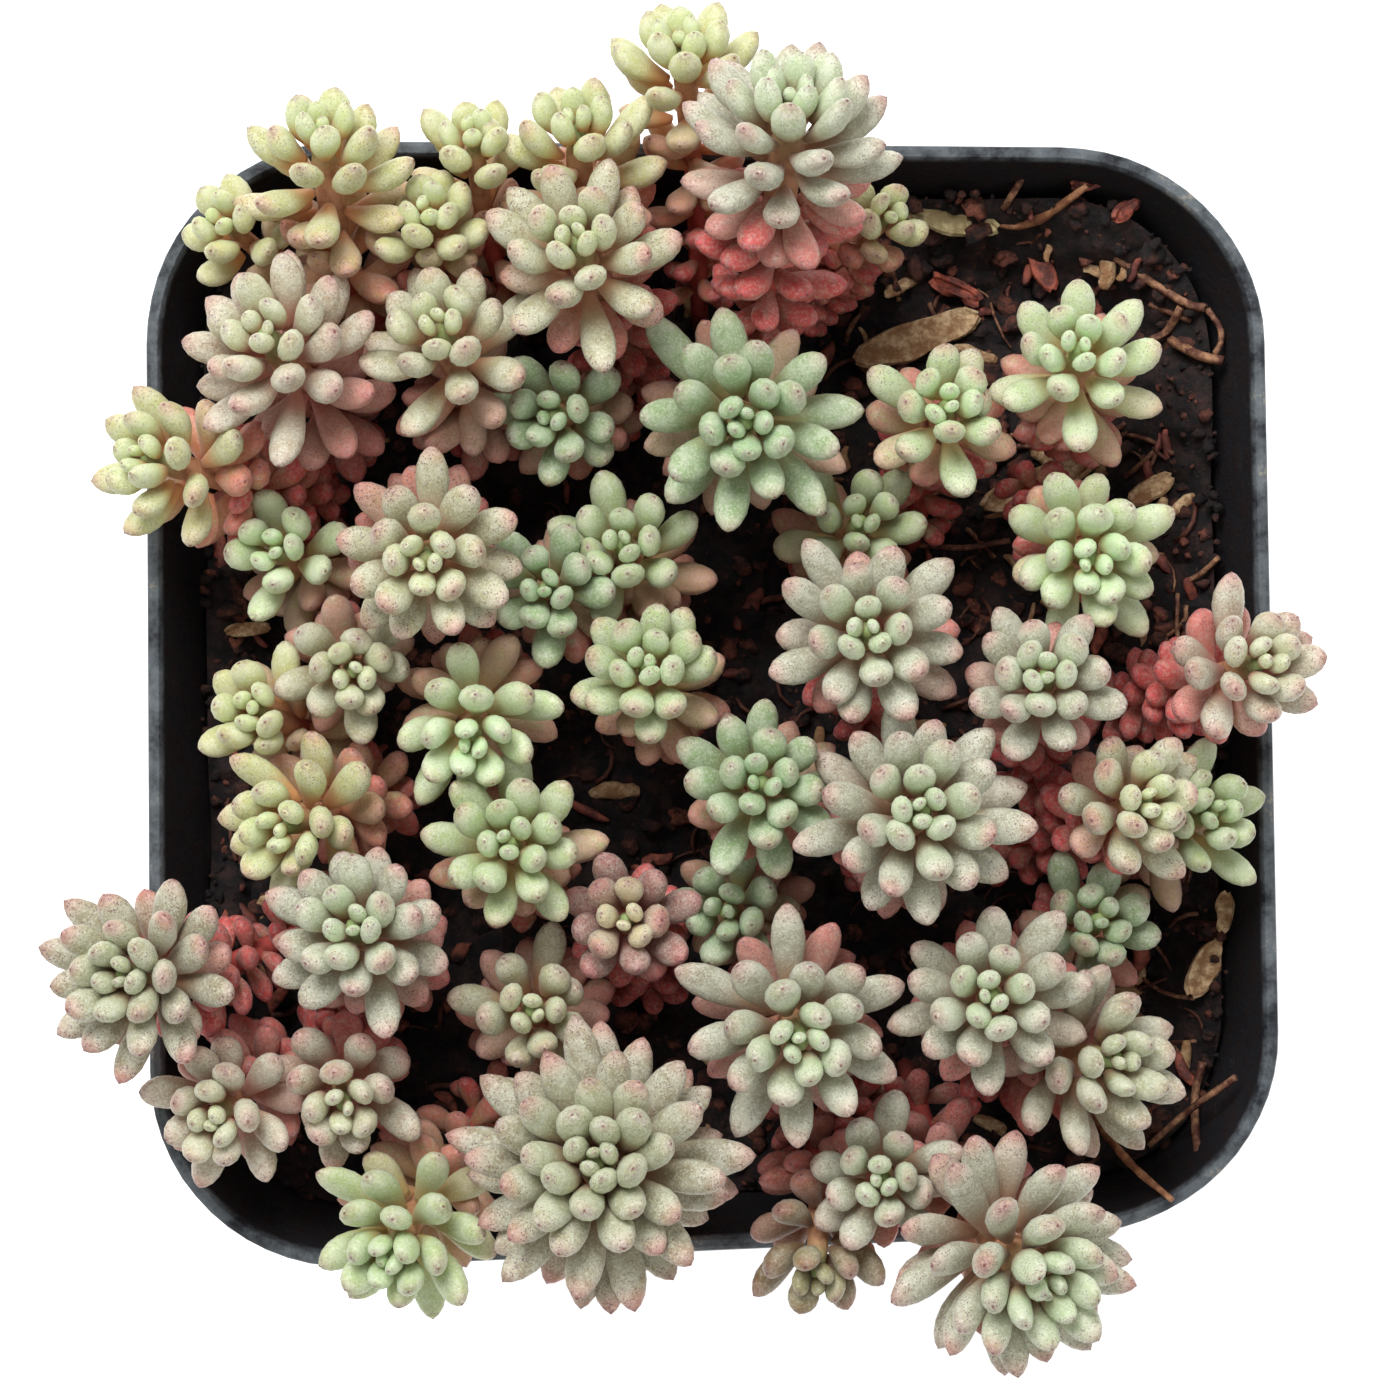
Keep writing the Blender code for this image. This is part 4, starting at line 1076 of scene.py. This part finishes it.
@dataclass
class Pot:
    """The square nursery pot: a thin tapered shell with round corners and a collar under its rim."""

    height = 80.0
    rim_half = 42.8
    rim_corner = 15.4
    foot_half = 32.0
    foot_corner = 10.0
    collar = 7.0
    step = 1.2
    wall = 1.1
    floor = 2.0
    skew = 0.6
    depth_share = 0.985
    taper = 0.026
    corner_steps = 14

    @classmethod
    def give(cls, points: np.ndarray) -> np.ndarray:
        """Points of the pot or the soil after the soft pot has given way a little, most at its rim."""
        x, y, z = np.asarray(points, float).T
        share = z / cls.height
        across = x / cls.rim_half
        deep = 1 + share * (cls.depth_share - 1 - cls.taper * across)
        return np.stack((x + share * cls.skew / 2 * (1 - across) * y / cls.rim_half, y * deep, z), axis=1)

    @classmethod
    def body_half(cls, height: float) -> float:
        """The half width of the tapered body at a height."""
        return cls.foot_half + (cls.rim_half - cls.step - cls.foot_half) * height / cls.height

    @classmethod
    def body_corner(cls, height: float) -> float:
        """The corner radius of the tapered body at a height."""
        return cls.foot_corner + (cls.rim_corner - cls.step - cls.foot_corner) * height / cls.height

    @classmethod
    def meets(cls, point: np.ndarray, radius: float, clear: float) -> bool:
        """Whether a ball touches the pot's wall or the soil.

        Args:
            point: The ball's middle.
            radius: Its radius.
            clear: The room that it needs.

        Returns:
            True where it touches.
        """
        x, y, z = point
        if z > cls.height + radius + clear:
            return False
        if outline_distance(x, y, cls.rim_half + cls.skew, cls.rim_corner) > radius + clear:
            return False
        inner = cls.body_half(z) - cls.wall - 1.9
        if outline_distance(x, y, inner, cls.body_corner(z)) < -radius - clear:
            return z < Soil.height_at(x, y) + radius + clear
        return True

    def sections(self) -> list[tuple[float, float, float]]:
        """The pot's rings from the foot up, over the rim and down inside: height, half width and corner radius."""
        brim = self.height - self.collar
        low = self.body_half(brim), self.body_corner(brim)
        out, corner = self.rim_half, self.rim_corner
        return [
            (0.0, self.foot_half - 0.8, self.foot_corner - 0.8),
            (0.25, self.foot_half - 0.25, self.foot_corner - 0.25),
            (0.9, self.foot_half, self.foot_corner),
            (brim - 0.3, low[0], low[1]),
            (brim, low[0] + 0.2, low[1] + 0.2),
            (brim + 0.25, out - 0.6, corner - 0.6),
            (brim + 0.6, out - 0.3, corner - 0.3),
            (self.height - 0.7, out, corner),
            (self.height - 0.2, out - 0.12, corner - 0.12),
            (self.height, out - 0.4, corner - 0.4),
            (self.height - 0.02, out - 0.9, corner - 0.9),
            (self.height - 0.25, out - 1.15, corner - 1.15),
            (self.height - 0.8, out - 1.3, corner - 1.3),
            (brim + 0.8, low[0] - self.wall + 0.5, low[1] - self.wall + 0.5),
            (brim - 0.6, low[0] - self.wall, low[1] - self.wall),
            (self.floor + 0.8, self.body_half(2.0) - self.wall, self.body_corner(2.0) - self.wall),
            (self.floor, self.body_half(2.0) - self.wall - 0.8, self.body_corner(2.0) - self.wall - 0.8),
        ]

    def build(self) -> bpy.types.Object:
        """Draws a rounded square up into the pot, ring by ring, and cuts the drains.

        Returns:
            The pot.
        """
        sections = self.sections()
        deselect()
        bpy.ops.mesh.primitive_plane_add(size=2 * sections[0][1])
        piece = rename("nursery_pot")
        bpy.ops.object.mode_set(mode="EDIT")
        bpy.ops.mesh.select_all(action="SELECT")
        bpy.ops.mesh.bevel(offset=sections[0][2], segments=self.corner_steps, affect="VERTICES")
        bpy.ops.mesh.select_all(action="SELECT")
        for _ in sections[1:]:
            bpy.ops.mesh.extrude_region_move(TRANSFORM_OT_translate={"value": (0.0, 0.0, 10.0)})
        bpy.ops.object.mode_set(mode="OBJECT")
        points = read_points(piece.data)
        levels = np.round(points[:, 2] / 10.0).astype(int)
        _, first_half, first_corner = sections[0]
        for number, (height, half, corner) in enumerate(sections):
            ring = levels == number
            middle = np.sign(points[ring, :2]) * (first_half - first_corner)
            arm = (points[ring, :2] - middle) / first_corner
            points[ring, :2] = np.sign(middle) * (half - corner) + arm * corner
            points[ring, 2] = height
        points = self.give(points)
        uneven = np.array([noise.noise(Vector(p) * 0.09) * 0.35 + noise.noise(Vector(p) * 0.7) * 0.06 for p in points])
        high = points[:, 2] > self.height - self.collar
        points[:, 2] += np.where(points[:, 2] > self.height - 1.0, uneven * 0.7, 0.0)
        points[:, :2] *= 1 + np.where(high, uneven * 0.004, 0.0)[:, None]
        write_points(piece.data, points * MM)
        # The rim value marks where the grey of wear and painted reflection lies; inside marks the dirty inner wall.
        for name, rings in (("rim", {7: 0.5, 8: 1.0, 9: 1.0, 10: 1.0, 11: 0.8}), ("inside", {11: 0.3})):
            layer = piece.data.attributes.new(name, "FLOAT", "POINT")
            values = [rings.get(level, float(name == "inside" and level > 11)) for level in levels.tolist()]
            layer.data.foreach_set("value", values)
        bpy.ops.object.mode_set(mode="EDIT")
        bpy.ops.mesh.select_all(action="SELECT")
        bpy.ops.mesh.normals_make_consistent(inside=False)
        bpy.ops.object.mode_set(mode="OBJECT")
        self.cut_drains(piece)
        bpy.ops.object.shade_smooth_by_angle(angle=math.radians(35))
        piece.data.materials.clear()
        piece.data.materials.append(PlasticFinish().make("pot_plastic"))
        return piece

    def cut_drains(self, piece: bpy.types.Object) -> None:
        """Cuts the four drainage holes through the floor.

        Args:
            piece: The pot.
        """
        for turn in (math.pi / 4 + quarter * math.pi / 2 for quarter in range(4)):
            deselect()
            place = (15.0 * math.cos(turn) * MM, 15.0 * math.sin(turn) * MM, 1.0 * MM)
            bpy.ops.mesh.primitive_cylinder_add(vertices=24, radius=4.0 * MM, depth=6.0 * MM, location=place)
            drill = rename("drill")
            deselect()
            piece.select_set(True)
            bpy.context.view_layer.objects.active = piece
            cut = piece.modifiers.new("drain", "BOOLEAN")
            cut.operation = "DIFFERENCE"
            cut.object = drill
            bpy.ops.object.modifier_apply(modifier=cut.name)
            bpy.data.objects.remove(drill)


@dataclass
class Soil:
    """The damp peat: a lumpy block that fills the pot, and the crumbs, chips and fibres on it."""

    cells: int = 180
    crumbs: int = 3400
    edge_crumbs: int = 320
    fibres: int = 260
    flakes: int = 90

    top = 67.5
    relief = 0.9
    bank = 5.2
    bank_width = 8.0

    @classmethod
    def height_at(cls, x: float, y: float) -> float:
        """The height of the soil's broad waves and of the bank along the pot's wall."""
        wave = math.sin(0.31 * x + 1.3) * math.cos(0.27 * y - 0.4) + 0.6 * math.sin(0.53 * y + 0.22 * x)
        half, corner = Pot.body_half(72.0) - Pot.wall, Pot.body_corner(72.0) - Pot.wall
        near = min(1.0, max(0.0, 1 + outline_distance(x, y, half, corner) / cls.bank_width))
        rise = cls.bank + 1.8 * min(1.0, max(-1.0, (x + y) / 45.0))
        return cls.top + cls.relief * wave + rise * near * near * (3 - 2 * near)

    @staticmethod
    def open_ground(x: float, y: float) -> bool:
        """Whether the ground is open to the sky there, away from the plants."""
        return x > 32 or x < -34 or (x > 8 and y > 4) or y < -38

    @classmethod
    def lump(cls, x: float, y: float) -> float:
        """The height of the lumpy surface."""
        rough = noise.fractal(Vector((x * 0.16, y * 0.16, 3.0)), 0.8, 2.1, 5)
        clods = noise.noise(Vector((x * 0.5, y * 0.5, 9.0)))
        return cls.height_at(x, y) + 1.6 * rough + 1.3 * abs(clods) - 0.8

    def build(self) -> bpy.types.Object:
        """Makes the block of peat with its lumpy top.

        Returns:
            The peat.
        """
        low, edge = Pot.floor + 0.3, 71.0
        deselect()
        bpy.ops.mesh.primitive_grid_add(x_subdivisions=self.cells, y_subdivisions=self.cells, size=2.0)
        piece = rename("peat")
        bpy.ops.object.mode_set(mode="EDIT")
        bpy.ops.mesh.select_all(action="SELECT")
        bpy.ops.mesh.extrude_region_move(TRANSFORM_OT_translate={"value": (0.0, 0.0, 1.0)})
        bpy.ops.mesh.select_all(action="SELECT")
        bpy.ops.mesh.normals_make_consistent(inside=False)
        select_where(piece, "FACE", lambda face: face.center.z < 0.01)
        bpy.ops.mesh.dissolve_limited(angle_limit=math.radians(1))
        bpy.ops.object.mode_set(mode="OBJECT")
        points = read_points(piece.data)
        for row in points:
            z = edge if row[2] > 0.5 else low
            half = Pot.body_half(z) - Pot.wall - 0.25
            corner = Pot.body_corner(z) - Pot.wall - 0.25
            u, v = row[0], row[1]
            reach = max(abs(u), abs(v))
            if reach > 1e-9:
                x, y = u * half, v * half
                ray = math.hypot(x, y)
                if outline_distance(x, y, half, corner) > 0 or reach > 0.55:
                    rim = self.ray_reach(x / ray, y / ray, half, corner)
                    blend = min(1.0, max(0.0, (reach - 0.55) / 0.45))
                    square = half / max(abs(x), abs(y)) * ray
                    scale = 1 + (rim / square - 1) * blend
                    x, y = x * scale, y * scale
            else:
                x, y = 0.0, 0.0
            if row[2] > 0.5:
                fall = min(1.0, max(0.0, (1.0 - reach) / 0.03))
                z = self.height_at(x, y) - 0.5
                z += (self.lump(x, y) - z) * fall
            row[:] = (x, y, z)
        write_points(piece.data, Pot.give(points) * MM)
        layer = piece.data.attributes.new("chance", "FLOAT", "POINT")
        layer.data.foreach_set("value", np.full(len(points), 0.6, np.float32))
        deselect()
        piece.select_set(True)
        bpy.context.view_layer.objects.active = piece
        bpy.ops.object.shade_smooth_by_angle(angle=math.radians(40))
        piece.data.materials.append(PEAT.make("peat"))
        return piece

    @staticmethod
    def ray_reach(dx: float, dy: float, half: float, corner: float) -> float:
        """How far a ray from the middle runs to the rounded outline.

        Args:
            dx: The ray's direction to the right.
            dy: The ray's direction away.
            half: Half the outline's width.
            corner: The corners' radius.

        Returns:
            The distance in millimetres.
        """
        low, high = 0.0, 2 * half
        for _ in range(30):
            middle = (low + high) / 2
            if outline_distance(dx * middle, dy * middle, half, corner) < 0:
                low = middle
            else:
                high = middle
        return low

    def scatter(self) -> bpy.types.Object:
        """Strews crumbs of peat over the soil, copied from one modelled crumb.

        Returns:
            The crumbs as one piece.
        """
        shapes = []
        for detail in (1, 2):
            deselect()
            bpy.ops.mesh.primitive_ico_sphere_add(subdivisions=detail, radius=1.0)
            crumb = rename("crumb")
            shapes.append((read_points(crumb.data), [tuple(face.vertices) for face in crumb.data.polygons]))
            bpy.data.objects.remove(crumb)
        draw = random.Random(SEED + 31)
        base = 0
        points, sides, chance = [], [], []
        half, corner = Pot.body_half(72.0) - 1.9, Pot.body_corner(72.0) - 1.9
        while len(points) < self.crumbs:
            turn, size = draw.uniform(0, 2 * math.pi), 0.2 + 1.1 * draw.random() ** 3
            x, y = draw.uniform(-half, half), draw.uniform(-half, half)
            lift = 0.0
            if len(points) < self.edge_crumbs:
                reach = self.ray_reach(math.cos(turn), math.sin(turn), half, corner) + draw.uniform(-0.6, 0.9)
                x, y = math.cos(turn) * reach, math.sin(turn) * reach
                size, lift = min(size + 0.05, 0.6), draw.uniform(0.0, 0.9)
            elif outline_distance(x, y, half, corner) > 0 or (draw.random() < 0.5 and not self.open_ground(x, y)):
                continue
            shape, faces = shapes[size > 0.42]
            seed = Vector((draw.uniform(0, 99), draw.uniform(0, 99), draw.uniform(0, 99)))
            swell = np.array([0.75 + 0.6 * noise.noise(Vector(p) * 1.3 + seed) for p in shape])
            stretch = np.array((draw.uniform(0.8, 1.5), draw.uniform(0.7, 1.1), draw.uniform(0.45, 0.8)))
            rows = shape * swell[:, None] * stretch * size
            spin = np.array(((math.cos(turn), -math.sin(turn), 0), (math.sin(turn), math.cos(turn), 0), (0, 0, 1)))
            rows = rows @ spin.T + np.array((x, y, self.lump(x, y) + size * 0.15 + lift))
            sides += [tuple(v + base for v in face) for face in faces]
            base += len(rows)
            points.append(Pot.give(rows))
            chance.append(np.full(len(rows), draw.random() ** 1.6 * (0.7 if lift else 1.0) - (0.2 if lift else 0.0)))
        return mesh_piece("crumbs", np.concatenate(points), sides, CRUMB.make("crumbs"), np.concatenate(chance))


def mesh_piece(
    name: str, points: np.ndarray, faces: list, material: bpy.types.Material, chance: np.ndarray
) -> bpy.types.Object:
    """A smooth piece from points in millimetres.

    Args:
        name: The piece's name.
        points: Its points, one row each.
        faces: Its faces by their points' numbers.
        material: Its material.
        chance: A number from 0 to 1 for each point.

    Returns:
        The piece.
    """
    mesh = bpy.data.meshes.new(name)
    mesh.from_pydata(np.asarray(points) * MM, [], faces)
    layer = mesh.attributes.new("chance", "FLOAT", "POINT")
    layer.data.foreach_set("value", chance.astype(np.float32))
    mesh.materials.append(material)
    mesh.shade_smooth()
    piece = bpy.data.objects.new(name, mesh)
    bpy.context.scene.collection.objects.link(piece)
    return piece


def tube(line: list[np.ndarray], radii: list[float], sides: int, base: int) -> tuple[np.ndarray, list]:
    """A round tube along a line, closed at both ends.

    Args:
        line: The points that it follows.
        radii: Its radius at each point.
        sides: How many sides it has.
        base: The number of its first point.

    Returns:
        Its points in millimetres and its faces.
    """
    rows, faces = [], []
    last = len(line) - 1
    for number, middle in enumerate(line):
        run = unit(line[min(number + 1, last)] - line[max(number - 1, 0)])
        over = unit(np.cross(run, np.array((0.13, 0.0, 1.0))))
        rise = np.cross(over, run)
        for k in range(sides):
            turn = 2 * math.pi * k / sides
            rows.append(middle + radii[number] * (math.cos(turn) * over + math.sin(turn) * rise))
    for ring in range(last):
        for k in range(sides):
            a, b = base + ring * sides + k, base + ring * sides + (k + 1) % sides
            faces.append((a, b, b + sides, a + sides))
    faces.append(tuple(base + k for k in reversed(range(sides))))
    faces.append(tuple(base + last * sides + k for k in range(sides)))
    return np.array(rows), faces


@dataclass(frozen=True)
class Strand:
    """A twig, root or straw: the places it passes as seen from the eye, each with its height, and its radius."""

    places: tuple
    radius: float


@dataclass
class Litter:
    """The dry bits on the soil."""

    twig = Strand(((22.6, 35.2, 69.6), (24.4, 35.4, 71.0), (26.2, 36.1, 73.0), (29.4, 38.3, 76.8)), 0.46)
    root = Strand(((27.4, -31.0, 68.6), (29.6, -34.0, 74.0), (31.6, -36.4, 78.0), (34.4, -38.9, 81.0)), 0.4)
    strands = (
        Strand(((32.6, -34.6, 72.0), (35.6, -32.3, 75.0), (37.6, -30.9, 77.0), (39.4, -29.7, 78.6)), 0.3),
        Strand(((36.7, -28.3, 71.0), (36.3, -31.0, 73.0), (36.4, -35.0, 76.0), (37.2, -37.2, 77.5)), 0.33),
        Strand(((31.3, 32.7, 70.5), (34.0, 30.8, 71.5), (36.6, 29.1, 72.0), (38.0, 28.7, 72.5)), 0.34),
        Strand(((38.2, 28.6, 72.6), (39.1, 27.2, 73.0), (39.1, 26.0, 73.0), (38.5, 25.1, 72.0)), 0.25),
        Strand(((22.8, 36.4, 70.0), (23.6, 37.6, 72.0), (24.4, 38.9, 73.5)), 0.3),
        Strand(((33.9, 26.4, 70.0), (35.2, 27.1, 70.6), (36.1, 28.7, 71.0)), 0.36),
        Strand(((35.3, 26.3, 70.0), (37.2, 25.0, 70.6), (39.0, 24.5, 71.0)), 0.4),
        Strand(((16.0, 11.3, 69.5), (19.5, 11.0, 70.0), (23.0, 11.5, 69.5)), 0.25),
        Strand(((36.0, 8.0, 69.5), (37.2, 8.6, 71.0), (38.6, 9.8, 72.5)), 0.25),
    )

    chips = (
        ((19.0, 35.6), (7.0, 1.7, 0.6), -12.0, HUSK),
        ((25.6, 32.6), (5.0, 1.7, 0.5), 112.0, DRIED),
        ((33.6, 15.1), (3.6, 1.5, 0.5), 30.0, BARK),
        ((37.1, -21.2), (4.6, 1.9, 0.6), 62.0, BARK),
        ((38.6, -17.0), (2.9, 1.1, 0.5), 80.0, BARK),
        ((-34.9, 5.8), (3.4, 1.0, 0.4), 8.0, BARK),
        ((19.3, 30.6), (4.0, 0.8, 0.8), -28.0, DRIED),
        ((32.3, 36.4), (2.2, 0.8, 0.6), 40.0, DRIED),
        ((29.5, 38.6), (2.4, 0.8, 0.5), 12.0, DRIED),
    )

    @staticmethod
    def lifted(strand: Strand) -> list[np.ndarray]:
        """The strand's places, none of them under the soil."""
        places = [place_seen(*place) for place in strand.places]
        for place in places:
            place[2] = max(place[2], Soil.lump(place[0], place[1]) + strand.radius + 1.0)
        return places

    def strand(self, name: str, strand: Strand) -> bpy.types.Object:
        """Makes one dry strand, thinner to its ends.

        Args:
            name: The piece's name.
            strand: Its line and radius.

        Returns:
            The piece.
        """
        line, radii = self.smooth(self.lifted(strand)), []
        for number in range(len(line)):
            share = number / (len(line) - 1)
            knots = 0.85 + 0.25 * noise.noise(Vector(line[number]) * 0.8)
            radii.append(strand.radius * knots * (0.45 + 0.55 * math.sin(math.pi * (0.12 + 0.76 * share))))
        rows, faces = tube(line, radii, 7, 0)
        return mesh_piece(name, rows, faces, STRAW.make(name), np.full(len(rows), 0.7))

    @staticmethod
    def smooth(places: list[np.ndarray]) -> list[np.ndarray]:
        """A finer line through a few places, without corners.

        Args:
            places: The places in order.

        Returns:
            The finer line's points.
        """
        line = []
        ends = [2 * places[0] - places[1], *places, 2 * places[-1] - places[-2]]
        for a, b, c, d in zip(ends, ends[1:], ends[2:], ends[3:]):
            for step in range(5):
                t = step / 5
                bend = 2 * b + (c - a) * t + (2 * a - 5 * b + 4 * c - d) * t * t + (3 * b - a - 3 * c + d) * t**3
                line.append(bend / 2)
        return [*line, places[-1]]

    def fibres(self, count: int) -> bpy.types.Object:
        """Strews fine fibres and the longer strands over the soil.

        Args:
            count: How many fine fibres there are.

        Returns:
            The fibres as one piece.
        """
        draw = random.Random(SEED + 57)
        points, faces, chance = [], [], []
        base = 0
        lines = []
        for strand in self.strands:
            lines.append((self.smooth(self.lifted(strand)), strand.radius, 0.9))
        half = Pot.body_half(Soil.top) - 1.6
        while len(lines) < count:
            x, y = draw.uniform(-half, half), draw.uniform(-half, half)
            if outline_distance(x, y, half, 12.0) > 0 or (draw.random() < 0.7 and not Soil.open_ground(x, y)):
                continue
            turn, bend = draw.uniform(0, 2 * math.pi), draw.uniform(-0.5, 0.5)
            length = draw.uniform(1.2, 4.5)
            line = []
            for step in range(5):
                x += math.cos(turn) * length / 4
                y += math.sin(turn) * length / 4
                turn += bend
                if outline_distance(x, y, half, 12.0) > 0:
                    break
                line.append(np.array((x, y, Soil.lump(x, y) + 0.35 + 0.3 * math.sin(step))))
            if len(line) > 2:
                # Fibres under the plants get a fixed dark value as painted shade; those on open ground a random tone.
                lines.append((line, draw.uniform(0.09, 0.24), draw.random() if Soil.open_ground(x, y) else -0.1))
        for line, radius, tone_or_painted_shade in lines:
            rows, sides = tube(line, [radius] * len(line), 5, base)
            points.append(rows)
            faces += sides
            base += len(rows)
            chance.append(np.full(len(rows), tone_or_painted_shade))
        return mesh_piece("fibres", np.concatenate(points), faces, FIBRE.make("fibres"), np.concatenate(chance))

    def flake(self, name: str, place: tuple, size: tuple, degrees: float, finish: EarthFinish) -> bpy.types.Object:
        """Models a curled flake of bark or dead leaf on the soil.

        Args:
            name: The piece's name.
            place: Where its middle lies.
            size: Its length, width and thickness.
            degrees: Its turn.
            finish: Its finish.

        Returns:
            The flake.
        """
        length, width, thick = size
        x, y, _ = place_seen(*place, Soil.height_at(*place))
        place = (x, y)
        deselect()
        bpy.ops.mesh.primitive_grid_add(x_subdivisions=14, y_subdivisions=6, size=1.0)
        piece = rename(name)
        points = read_points(piece.data)
        turn = math.radians(degrees)
        seed = Vector((place[0], place[1], 5.0))
        for row in points:
            u, v = row[0] * 2, row[1] * 2
            slim = math.sqrt(max(0.0, 1 - abs(u) ** 2.4)) * (1 + 0.25 * noise.noise(Vector((u * 2, v, 0)) + seed))
            x, y = u * length / 2, v * width / 2 * max(slim, 0.08)
            curl = 0.35 * thick * (v * v) + 0.5 * thick * noise.noise(Vector((u * 1.5, v * 1.5, 1)) + seed)
            row[0] = place[0] + x * math.cos(turn) - y * math.sin(turn)
            row[1] = place[1] + x * math.sin(turn) + y * math.cos(turn)
            row[2] = Soil.lump(place[0], place[1]) + 1.4 + curl + 0.05 * abs(x)
        write_points(piece.data, points * MM)
        wall = piece.modifiers.new("thickness", "SOLIDIFY")
        wall.thickness = thick * 0.6 * MM
        bpy.ops.object.modifier_apply(modifier=wall.name)
        bpy.ops.object.mode_set(mode="EDIT")
        bpy.ops.mesh.select_all(action="SELECT")
        bpy.ops.mesh.normals_make_consistent(inside=False)
        bpy.ops.object.mode_set(mode="OBJECT")
        bpy.ops.object.shade_smooth_by_angle(angle=math.radians(40))
        layer = piece.data.attributes.new("chance", "FLOAT", "POINT")
        layer.data.foreach_set("value", np.full(len(piece.data.vertices), 0.8, np.float32))
        piece.data.materials.append(finish.make(name))
        return piece

    def loose(self, count: int) -> tuple[bpy.types.Object, bpy.types.Object]:
        """Strews small flakes of bark and dried fallen leaves over the soil.

        Args:
            count: How many there are of each.

        Returns:
            The flakes as one piece, and the dried leaves as another.
        """
        shape = LeafShape(LeafKind.BUD, sides=7)
        shape.model()
        pieces = []
        for number, (name, finish) in enumerate((("bark_bits", BARK), ("dried_leaves", DRIED))):
            draw = random.Random(SEED + 73 + number)
            points, faces, chance = [], [], []
            half = Pot.body_half(Soil.top) - 1.8
            while len(points) < count:
                x, y = draw.uniform(-half, half), draw.uniform(-half, half)
                if outline_distance(x, y, half, 12.0) > 0 or (draw.random() < 0.7 and not Soil.open_ground(x, y)):
                    continue
                length = draw.uniform(1.2, 4.2)
                scale = np.array((length * draw.uniform(0.2, 0.4), length * draw.uniform(0.08, 0.2), length))
                turn, tilt = draw.uniform(0, 2 * math.pi), draw.uniform(-0.35, 0.35)
                run = np.array((math.cos(turn) * math.cos(tilt), math.sin(turn) * math.cos(tilt), math.sin(tilt)))
                side = unit(np.cross(np.array((0.0, 0.0, 1.0)), run))
                rise = np.cross(run, side)
                u, v, w = (shape.points * scale).T
                seed = Vector((draw.uniform(0, 99), 0.0, 0.0))
                crook = np.array([noise.noise(Vector((0.0, 0.0, value * 0.9)) + seed) for value in w])
                rows = np.outer(u + 0.4 * crook, side) + np.outer(v, rise) + np.outer(w - length / 2, run)
                base = len(points) * len(rows)
                rows += np.array((x, y, Soil.lump(x, y) + 0.5))
                points.append(Pot.give(rows))
                faces += [tuple(p + base for p in face) for face in shape.faces]
                chance.append(np.full(len(rows), draw.random()))
            piece = mesh_piece(name, np.concatenate(points), faces, finish.make(name), np.concatenate(chance))
            pieces.append(piece)
        return pieces[0], pieces[1]


@dataclass
class Studio:
    """The camera at the photograph's place, a pale floor and soft light from above."""

    def floor(self) -> None:
        """Lays the pale floor."""
        deselect()
        bpy.ops.mesh.primitive_plane_add(size=6.0, location=(0.0, 0.0, -0.0002))
        sheet = rename("floor")
        sheet.data.materials.append(PaperFinish().make("floor"))

    def lights(self) -> None:
        """Hangs a wide soft light over the left shoulder and a paler sky round it."""
        world = bpy.data.worlds.new("sky")
        bpy.context.scene.world = world
        world.use_nodes = True
        sky = world.node_tree.nodes["Background"]
        sky.inputs["Color"].default_value = (1.0, 1.0, 1.0, 1.0)
        sky.inputs["Strength"].default_value = 0.44
        for name, place, size, power in (("key", (-0.1, 0.29, 0.52), 0.28, 2.85), ("fill", (0.7, -0.5, 0.9), 0.9, 1.8)):
            lamp = bpy.data.lights.new(name, "AREA")
            lamp.size = size
            lamp.energy = power
            light = bpy.data.objects.new(name, lamp)
            light.location = place
            light.rotation_euler = (Vector((0.0, 0.0, 0.08)) - Vector(place)).to_track_quat("-Z", "Y").to_euler()
            bpy.context.scene.collection.objects.link(light)

    def camera(self) -> None:
        """Sets the camera straight above the pot, as the photograph was taken."""
        lens = bpy.data.cameras.new("camera")
        lens.sensor_width = FILM_WIDTH
        lens.lens = FILM_WIDTH * (EYE[2] - Pot.height) / VIEW_WIDTH
        lens.clip_start = 0.01
        lens.clip_end = 20.0
        camera = bpy.data.objects.new("camera", lens)
        camera.location = (-0.00076, -0.00021, EYE[2] * MM)
        camera.rotation_euler = (0.0, 0.0, VIEW_ROLL)
        bpy.context.scene.collection.objects.link(camera)
        bpy.context.scene.camera = camera
        bpy.context.scene.view_settings.view_transform = "Standard"


STEM_SKIN = StemFinish().make("stems")


def main() -> None:
    """Builds the plant, the pot, the soil and the studio."""
    logging.basicConfig(level=logging.INFO, format="%(message)s")
    Clump().build()
    settle(Pot().build(), "pot")
    soil, litter = Soil(), Litter()
    settle(soil.build(), "soil")
    settle(litter.strand("dry_twig", litter.twig), "twig")
    settle(litter.strand("dry_root", litter.root), "root_fibre")
    settle(litter.flake("bark_flake", (25.2, 15.8), (9.4, 2.3, 0.7), 24.0, BARK), "bark_chip")
    settle(litter.flake("dead_husk", (16.2, 26.9), (10.2, 2.7, 0.6), 19.0, BARK), "dead_leaf")
    chips = [litter.flake(f"chip_{number}", *row) for number, row in enumerate(litter.chips, 1)]
    for extra in (soil.scatter(), litter.fibres(soil.fibres), *litter.loose(soil.flakes), *chips):
        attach(extra, "root")
        log.info("%s: %d faces", extra.name, len(extra.data.polygons))
    studio = Studio()
    studio.floor()
    studio.lights()
    studio.camera()


if __name__ == "__main__":
    main()
